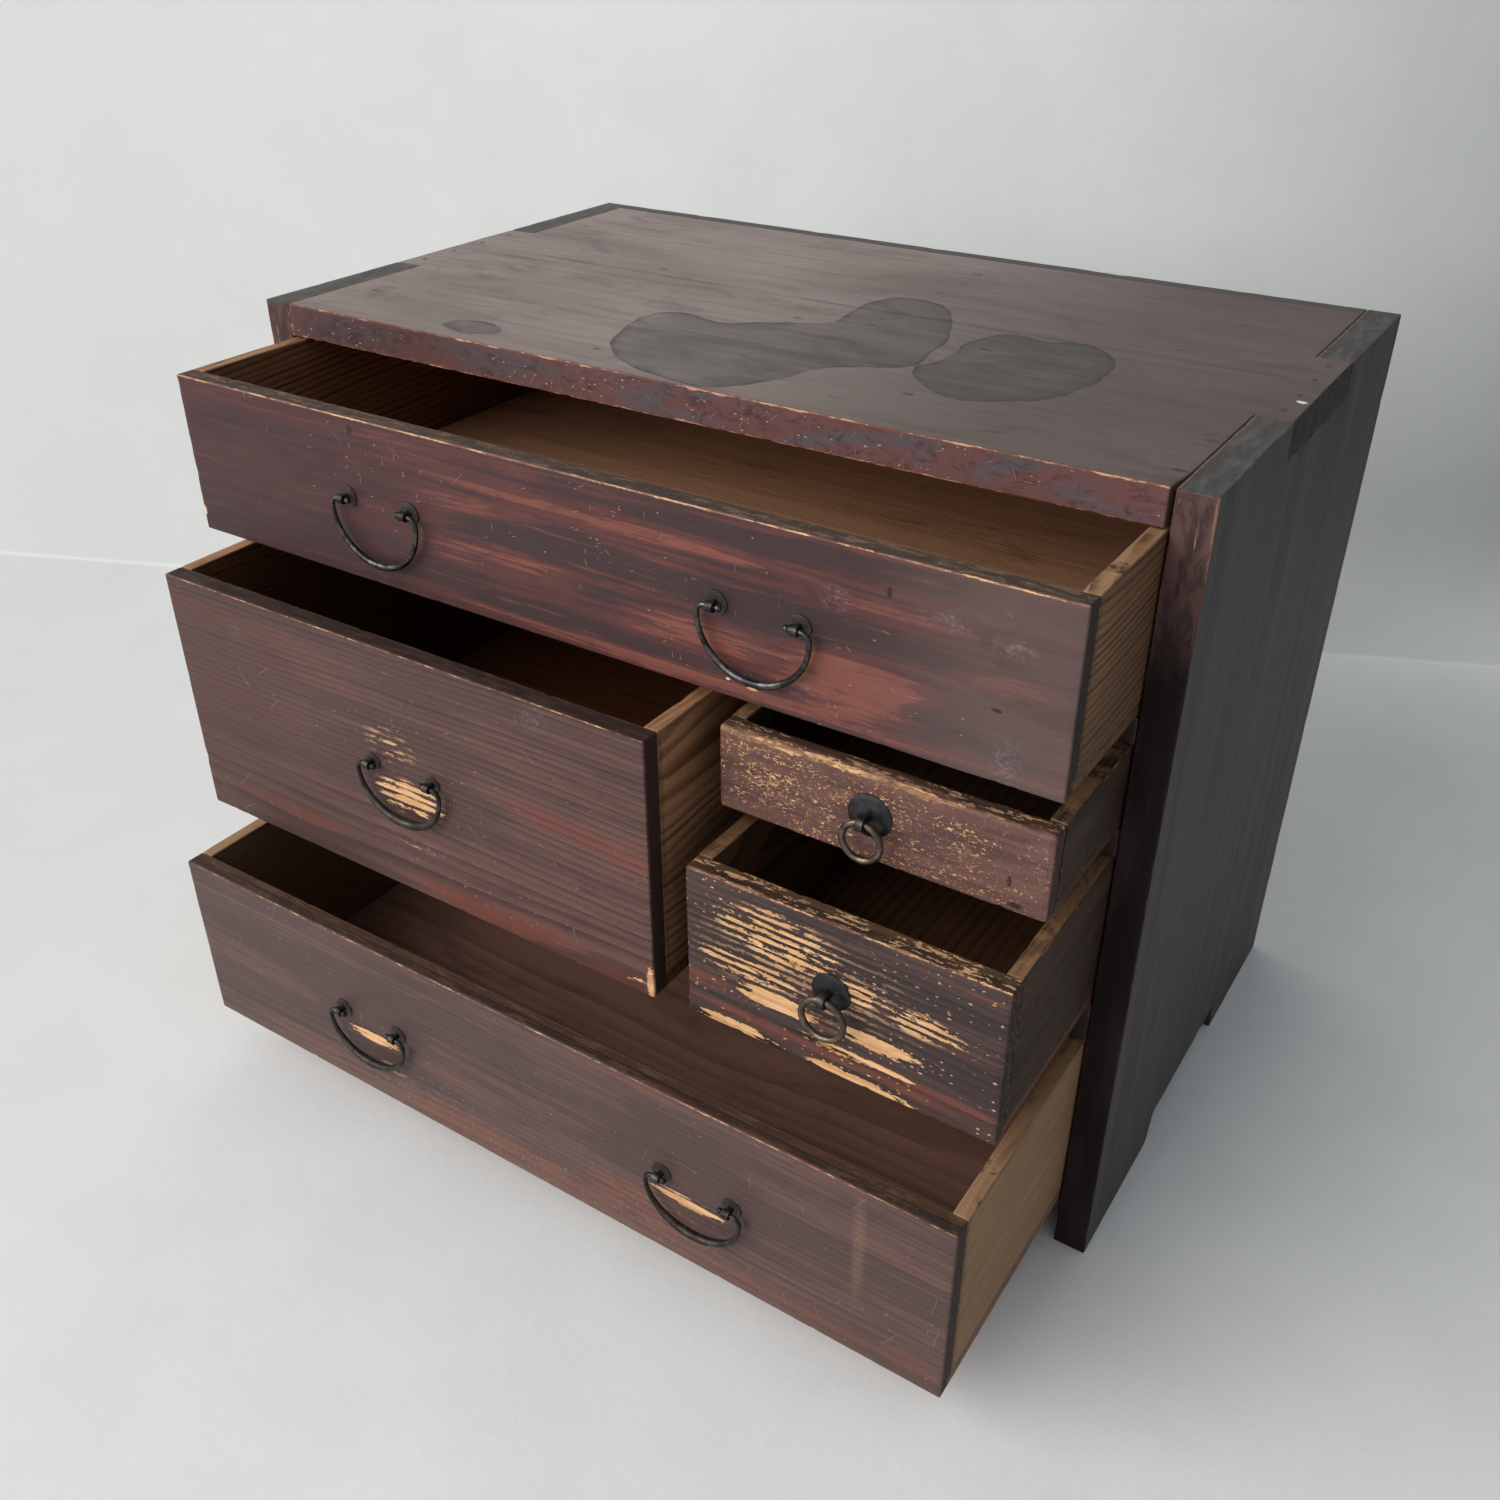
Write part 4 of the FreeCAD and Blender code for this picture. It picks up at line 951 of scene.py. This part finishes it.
def box_timber(node, axis, grain, pale, late, stained=None, out=0, soiled=0, sooty=0, comb=None):
    """Bare timber. A side says which way is out, and a bottom how strongly the grain of its ends shows. A
    side's inner face can be darkened as painted shade.
    """
    material, place, low, high, ring, inset = board_finish(node, "timber", axis, **grain)
    x, y, z = place.axes()
    floor = comb is not None
    middle = (low.x + high.x) / 2
    tan = cloud(place, (6, 6, 9), 4, 0.55, 0.5, pale[0] * 30)
    timber = layers(
        pale,
        (ring["late"], late),
        (ring["fibre"].rise(0.45, 0.75) * 0.35, dimmer(late, 0.6)),
        (tan.rise(0.46, 0.74) * 0.3, (late[0] * 0.85, late[1] * 0.8, late[2] * 0.75)))
    if floor:
        smear = cloud(place, (7, 20, 20), 5, 0.66, 1, 19)
        timber = blend(smear.rise(0.52, 0.7) * 0.45, timber, dimmer(late, 0.5))
    spot = use(chips, join_axes(y, x + z, z), cells=60, share=0.006, size=0.22)["chip"]
    lip = (z - high.z).rise(-0.0016, -0.0004) * (0 if floor else 1)
    rubbed = cloud(place, (60, 60, 200), 4, 0.65)
    timber = layers(
        timber,
        (spot * 0.6, (0.035, 0.018, 0.01)),
        (lip * rubbed.rise(0.36, 0.6) * 0.65, (0.33, 0.185, 0.095)),
        (lip * rubbed.rise(0.6, 0.72), (0.055, 0.03, 0.018)))
    if out:
        outside = (high.x - SKIN[0]) if out > 0 else (low.x + SKIN[0])
        coat_mask = x.rise(outside, outside + out * (SKIN[0] - SKIN[1]))
        grimy = tan.rise(0.3, 0.62) * 0.5 + 0.5
        # The inside face below the lip is painted dark red-brown, as painted shade inside the drawer.
        timber = layers(
            timber,
            (coat_mask * grimy * soiled, (0.045, 0.024, 0.014)),
            (coat_mask.rest() * lip.rest() * sooty, (0.058, 0.016, 0.005)))
    if comb:
        cut_end = at_limit((x - middle).math("ABSOLUTE"), high.x - middle)
        end_grain = blend(ring["late"].rise(0.25, 0.45), (0.19, 0.115, 0.068), (0.022, 0.013, 0.009))
        timber = blend(cut_end * comb, timber, end_grain)
    if stained:
        flat = join_axes(y, z, x)
        streak = cloud(place, (30, 12, 60), 4, 0.6)
        fleck = use(scratches, flat, cells=90, reach=0.3, fine=0.022, share=0.1)["scratch"]
        fleck = fleck.most(use(chips, flat, cells=330, share=0.05, size=0.17)["chip"])
        coat = layers(
            stained, (streak.rise(0.4, 0.66), dimmer(stained, 1.7)), (fleck * 0.6, (0.2, 0.145, 0.105)))
        timber = blend(coat_mask, timber, coat)
    soil = (inset + (rubbed - 0.5) * 0.008).rise(0.005, 0)
    worn = (inset + (rubbed - 0.5) * 0.003).rise(0.0006, -0.0003)
    timber = layers(
        timber, (soil * lip.rest() * 0.45, (0.04, 0.022, 0.014)), (worn * 0.45, (0.44, 0.27, 0.15)))
    relief = ring["late"] * 0.6 + ring["fibre"] * 0.35
    return settle(material, timber, ring["fibre"] * 0.2 + 0.55, relief, deep=0.0004, sheen=0.12)


def box_board(drawer, part, node, finish):
    low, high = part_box(node)
    block = sawn_block(low, high, BOX_SPANS)
    ease(block, round_over=0.0007, knock=0.0004, shift=low.x * 30 + low.z * 17)
    make_piece(f"{drawer}_drawer_{part}", block, finish, f"drawer_{drawer}", node)


def drawer_box(drawer, pale, late, floor, tilt, floor_grain, width=0.003, comb=0.35, **dirt_and_painted_shade):
    """Two sides, a back and a bottom, with the grain of the sides rising by a tilt."""
    low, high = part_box(f"drawer_{drawer}_front")
    stained = "stained" in dirt_and_painted_shade
    for hand, out in (("left", -1), ("right", 1)):
        node = f"drawer_{drawer}_side_{hand}"
        grain = dict(pith_y=out * 0.3, pith_z=high.z + tilt * 0.12, width=width, wander=0.03)
        finish = box_timber(node, "y", grain, pale, late, out=out, **dirt_and_painted_shade)
        box_board(drawer, hand, node, finish)
    node = f"drawer_{drawer}_back"
    grain = dict(pith_y=0.25, pith_z=low.z - 0.1, width=0.004, wander=0.02)
    box_board(drawer, "back", node, box_timber(node, "x", grain, pale, late))
    node = f"drawer_{drawer}_bottom"
    floor_late = dimmer(floor, 0.5 if stained else 0.64)
    finish = box_timber(node, "y" if stained else "x", floor_grain(low), floor, floor_late, comb=comb)
    box_board(drawer, "bottom", node, finish)


def wide_grain(low):
    return dict(pith_y=low.y + 0.16, pith_z=low.z - 0.05, width=0.0055, wander=0.01)


def straight_grain(low):
    return dict(pith_y=0.9, pith_z=low.z, width=0.003, wander=0.004)


def long_grain(low):
    return dict(pith_y=-0.5, pith_z=low.z, width=0.0075, wander=0.004)


# The top drawer's floor is painted far paler than its wood, as painted light falling into the open drawer,
# and the middle drawer's floor is painted dark, as painted shade inside it.
drawer_box("top", pale=(0.34, 0.18, 0.09), late=(0.06, 0.028, 0.014), floor=(0.76, 0.41, 0.235),
           tilt=0.35, floor_grain=straight_grain, width=0.0044, comb=1, soiled=0.55, sooty=0.55)
drawer_box("middle", pale=(0.4, 0.205, 0.105), late=(0.105, 0.046, 0.023), floor=(0.22, 0.08, 0.03),
           tilt=0.55, floor_grain=wide_grain, width=0.0044, sooty=0.76)
drawer_box("small_upper", pale=(0.07, 0.038, 0.022), late=(0.03, 0.016, 0.01),
           floor=(0.06, 0.032, 0.019), tilt=0.25, floor_grain=long_grain, comb=0,
           stained=(0.03, 0.017, 0.012))
drawer_box("small_lower", pale=(0.15, 0.076, 0.04), late=(0.055, 0.026, 0.014),
           floor=(0.13, 0.06, 0.032), tilt=0.3, floor_grain=long_grain, comb=0,
           stained=(0.034, 0.019, 0.013))
drawer_box("bottom", pale=(0.33, 0.205, 0.115), late=(0.175, 0.096, 0.052), floor=(0.385, 0.205, 0.15),
           tilt=0.45, floor_grain=wide_grain, sooty=0.45)


# Pegs of the drawer boxes: whittled hardwood pins, driven through the sides and the bottom.
# Their ends are cut flush, so that only small round end grain shows.
material, place = new_finish("peg wood")
ring = use(rings, place, pith_y=0, pith_z=0, width=0.0016, wander=0.002)
peg_tint = blend(ring["late"], (0.3, 0.19, 0.11), (0.12, 0.066, 0.036))
settle(material, peg_tint, ring["fibre"] * 0.2 + 0.55, ring["fibre"], deep=0.0003)
for drawer in DRAWERS:
    dress(f"drawer_{drawer}_pegs", material)


# Pulls: forged iron bails and rings on split eye pins, over flat washers or low domed plates.
# The washers are cut from thin sheet by hand, so no two are quite round.
black_bail = iron(
    "black bail iron", dark=(0.03, 0.028, 0.029), light=(0.125, 0.12, 0.12),
    polish=0.8, rust=0.2, rough=0.26, metal=0.95)
brown_bail = iron(
    "brown bail iron", dark=(0.028, 0.024, 0.023), light=(0.07, 0.06, 0.055),
    polish=0.8, rust=0.4, rough=0.4, metal=0.88)
brown_ring = iron(
    "brown ring iron", dark=(0.085, 0.066, 0.052), light=(0.19, 0.15, 0.122),
    polish=0.9, rust=0.3, rough=0.34, metal=0.92)
black_pin = iron(
    "pin iron", dark=(0.024, 0.021, 0.02), light=(0.085, 0.076, 0.07),
    polish=0.8, rust=0.3, rough=0.38, metal=0.85)
black_washer = iron(
    "washer iron", dark=(0.03, 0.023, 0.022), light=(0.06, 0.047, 0.044),
    polish=0.8, rust=0.25, rough=0.46, metal=0.35)
black_plate = iron(
    "plate iron", dark=(0.022, 0.022, 0.024), light=(0.06, 0.06, 0.064),
    polish=0.7, rust=0.2, rough=0.34, metal=0.8, deep=0.0001)
BAILS = {"top": ("bail_top_left", "bail_top_right"), "middle": ("bail_middle",),
         "bottom": ("bail_bottom_left", "bail_bottom_right")}
for drawer in DRAWERS:
    dress(f"drawer_{drawer}_eye_pins", black_pin)
    for bail in BAILS.get(drawer, ()):
        dress(bail, black_bail if drawer == "top" else brown_bail)
    if drawer not in BAILS:
        dress(f"ring_{drawer}", brown_ring)
        dress(f"drawer_{drawer}_washers", black_plate)

POST_SPAN = 0.047
WASHER_SIDES = 40
SHANK_HOLE = 0.0019
OUT_OF_ROUND = 0.09
for drawer, bails in BAILS.items():
    node = f"drawer_{drawer}_washers"
    low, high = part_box(node)
    girth = (high.z - low.z) / 2
    washers = bmesh.new()
    for number, bail in enumerate(bails):
        bail_low, bail_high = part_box(bail)
        for side in (-1, 1):
            across = (bail_low.x + bail_high.x) / 2 + side * POST_SPAN / 2
            post = Vector((across, low.y, (low.z + high.z) / 2))
            rim = bmesh.ops.create_circle(washers, segments=WASHER_SIDES, radius=girth)["verts"]
            hole = bmesh.ops.create_circle(washers, segments=WASHER_SIDES, radius=SHANK_HOLE)["verts"]
            edges = {e for v in (*rim, *hole) for e in v.link_edges}
            disc = bmesh.ops.bridge_loops(washers, edges=list(edges))["faces"]
            lot = Vector((number * 3.1, side * 7.7, girth * 900))
            for v in rim:
                v.co *= 1 - OUT_OF_ROUND * abs(noise.noise(v.co * 260 + lot))
            thick = bmesh.ops.solidify(washers, geom=disc, thickness=high.y - low.y)["geom"]
            faces = [part for part in (*disc, *thick) if isinstance(part, bmesh.types.BMFace)]
            turned = Matrix.Translation(post) @ Matrix.Rotation(math.radians(90), 4, "X")
            bmesh.ops.transform(washers, matrix=turned, verts=list({v for f in faces for v in f.verts}))
    shallow = min(v.co.y for v in washers.verts)
    bmesh.ops.translate(washers, vec=(0, low.y - shallow, 0), verts=washers.verts)
    bmesh.ops.bevel(washers, geom=arrises_of(washers), offset=0.00025, offset_type="OFFSET", affect="EDGES",
                    segments=2, profile=0.5, material=-1)
    bmesh.ops.recalc_face_normals(washers, faces=washers.faces)
    make_piece(f"{drawer}_bail_washers", washers, black_washer, f"drawer_{drawer}", node)


# Floor and wall: one pale plastered sheet with a trowelled face, bent up behind the chest, with painted shade
# in its colour.
# Seen from behind, the wall lets the eye through.
WALL_POINT = Vector((-1.209, front_y + 0.2645, 0))
WALL_ALONG = Vector((1.594, 0.683, 0)).normalized()
WALL_OUT = Vector((-WALL_ALONG.y, WALL_ALONG.x, 0))
FLOOR_REACH = 9
WALL_TALL = 2.6
COVE = 0.004
WINDOW_PLACE = Vector((-2.5, front_y - 3.9, 2.9))
sheet = bmesh.new()
corners = []
for along, toward in ((-1, 1), (1, 1), (1, 0), (-1, 0)):
    corners.append(sheet.verts.new(WALL_POINT + (WALL_ALONG * along - WALL_OUT * toward) * FLOOR_REACH))
sheet.faces.new(corners)
foot_of_wall = sheet.edges.get((corners[2], corners[3]))
made = bmesh.ops.extrude_edge_only(sheet, edges=[foot_of_wall])["geom"]
raised = [v for v in made if isinstance(v, bmesh.types.BMVert)]
bmesh.ops.translate(sheet, vec=(0, 0, WALL_TALL), verts=raised)
bend = [e for e in sheet.edges if len(e.link_faces) == 2]
bmesh.ops.bevel(
    sheet, geom=bend, offset=COVE, offset_type="OFFSET", affect="EDGES", segments=6, profile=0.5, material=-1)
sheet.normal_update()
bmesh.ops.reverse_faces(sheet, faces=[f for f in sheet.faces if f.normal.dot(UP - WALL_OUT) < 0])
mesh = bpy.data.meshes.new("studio_sheet")
sheet.to_mesh(mesh)
sheet.free()
material, place = new_finish("pale plaster")
x, y, z = place.axes()
trowel = cloud(place, 9, 4, 0.6)
speckle = cloud(place, 160, 3, 0.6)
along_wall = (x - WALL_POINT.x) * WALL_ALONG.x + (y - WALL_POINT.y) * WALL_ALONG.y
window_x = x - WINDOW_PLACE.x
window_y = y - WINDOW_PLACE.y
from_window = (window_x * window_x + window_y * window_y).math("SQRT")
# Painted shade: the sheet is darker near the lamp and towards the far left, where the lamp falls strongest,
# and a cool grey painted shadow darkens the wall beyond the chest's right.
plaster_and_painted_shade = layers(
    (0.74, 0.74, 0.735),
    (trowel.rise(0.35, 0.65), (0.77, 0.77, 0.765)),
    (along_wall.rise(1, 0) * 0.6, (0.52, 0.52, 0.515)),
    (along_wall.rise(1.1, 2.05) * z.rise(0, 0.2), (0.27, 0.28, 0.29)),
    (from_window.rise(3.5, 1.9).most(along_wall.rise(-0.5, -1.6)), (0.3, 0.3, 0.3)))
settle(material, plaster_and_painted_shade, speckle * 0.1 + 0.8, trowel * 0.6 + speckle * 0.25, deep=0.0006, sheen=0.1)


def show_one(tree, output, amount, *shaders):
    """Shows one of two shaders or the other, by an amount from 0 to 1."""
    fed = {0: amount, 1: Tone(tree, shaders[0].outputs[0]), 2: Tone(tree, shaders[1].outputs[0])}
    choice = add_node(tree, "ShaderNodeMixShader", fed)
    tree.links.new(choice.outputs[0], tree.nodes[output].inputs["Surface"])


tree = material.node_tree
behind = Tone(tree, tree.nodes.new("ShaderNodeNewGeometry").outputs["Backfacing"])
clear = tree.nodes.new("ShaderNodeBsdfTransparent")
show_one(tree, "Material Output", behind, tree.nodes["Principled BSDF"], clear)
mesh.materials.append(material)
studio = bpy.data.objects.new("studio_sheet", mesh)
bpy.context.scene.collection.objects.link(studio)


# Light: one wide soft window lamp from the left, a little in front of the chest.
# A cool even fill comes from all round, and whatever looks past the sheet sees plain grey.
AIM = Vector((0, 0, 0.25))
lamp = bpy.data.lights.new("window", "AREA")
lamp.shape = "RECTANGLE"
lamp.size, lamp.size_y = 5.6, 4.0
lamp.energy = 342
lamp.color = (1.0, 0.985, 0.96)
window = bpy.data.objects.new("window", lamp)
window.location = WINDOW_PLACE
window.rotation_mode = "QUATERNION"
window.rotation_quaternion = (AIM - WINDOW_PLACE).to_track_quat("-Z", "Y")
bpy.context.scene.collection.objects.link(window)

world = bpy.data.worlds.new("studio")
bpy.context.scene.world = world
world.use_nodes = True
tree = world.node_tree
fill = tree.nodes["Background"]
seen = tree.nodes.new("ShaderNodeBackground")
for light, colour, strength in ((fill, (0.88, 0.95, 1, 1), 0.46), (seen, (0.54, 0.54, 0.53, 1), 1)):
    light.inputs["Color"].default_value = colour
    light.inputs["Strength"].default_value = strength
path = tree.nodes.new("ShaderNodeLightPath")
looks = Tone(tree, path.outputs["Is Camera Ray"]) + Tone(tree, path.outputs["Is Glossy Ray"])
looks = looks + Tone(tree, path.outputs["Is Transmission Ray"])
show_one(tree, "World Output", looks.least(1), fill, seen)


# Camera: at the photograph's place, above the right front corner and close to the chest.
# It looks down on the open drawers, and its place and turn were worked out from the chest's straight edges.
CAMERA_PLACE = (0.45373, front_y - 0.60709, 0.72986)
RIGHT = Vector((0.8387, 0.54459, -0.00025))
DOWN = Vector((0.28674, -0.44198, -0.84996))
AHEAD = Vector((-0.46299, 0.71279, -0.52685))
camera_data = bpy.data.cameras.new("camera")
camera_data.sensor_width = 36
camera_data.lens = 34.754
camera_data.clip_start = 0.02
camera_data.clip_end = 60
camera = bpy.data.objects.new("camera", camera_data)
turned = Matrix((RIGHT, -DOWN, -AHEAD)).transposed().to_4x4()
camera.matrix_world = Matrix.Translation(CAMERA_PLACE) @ turned
bpy.context.scene.collection.objects.link(camera)
bpy.context.scene.camera = camera
bpy.context.scene.view_settings.view_transform = "Standard"
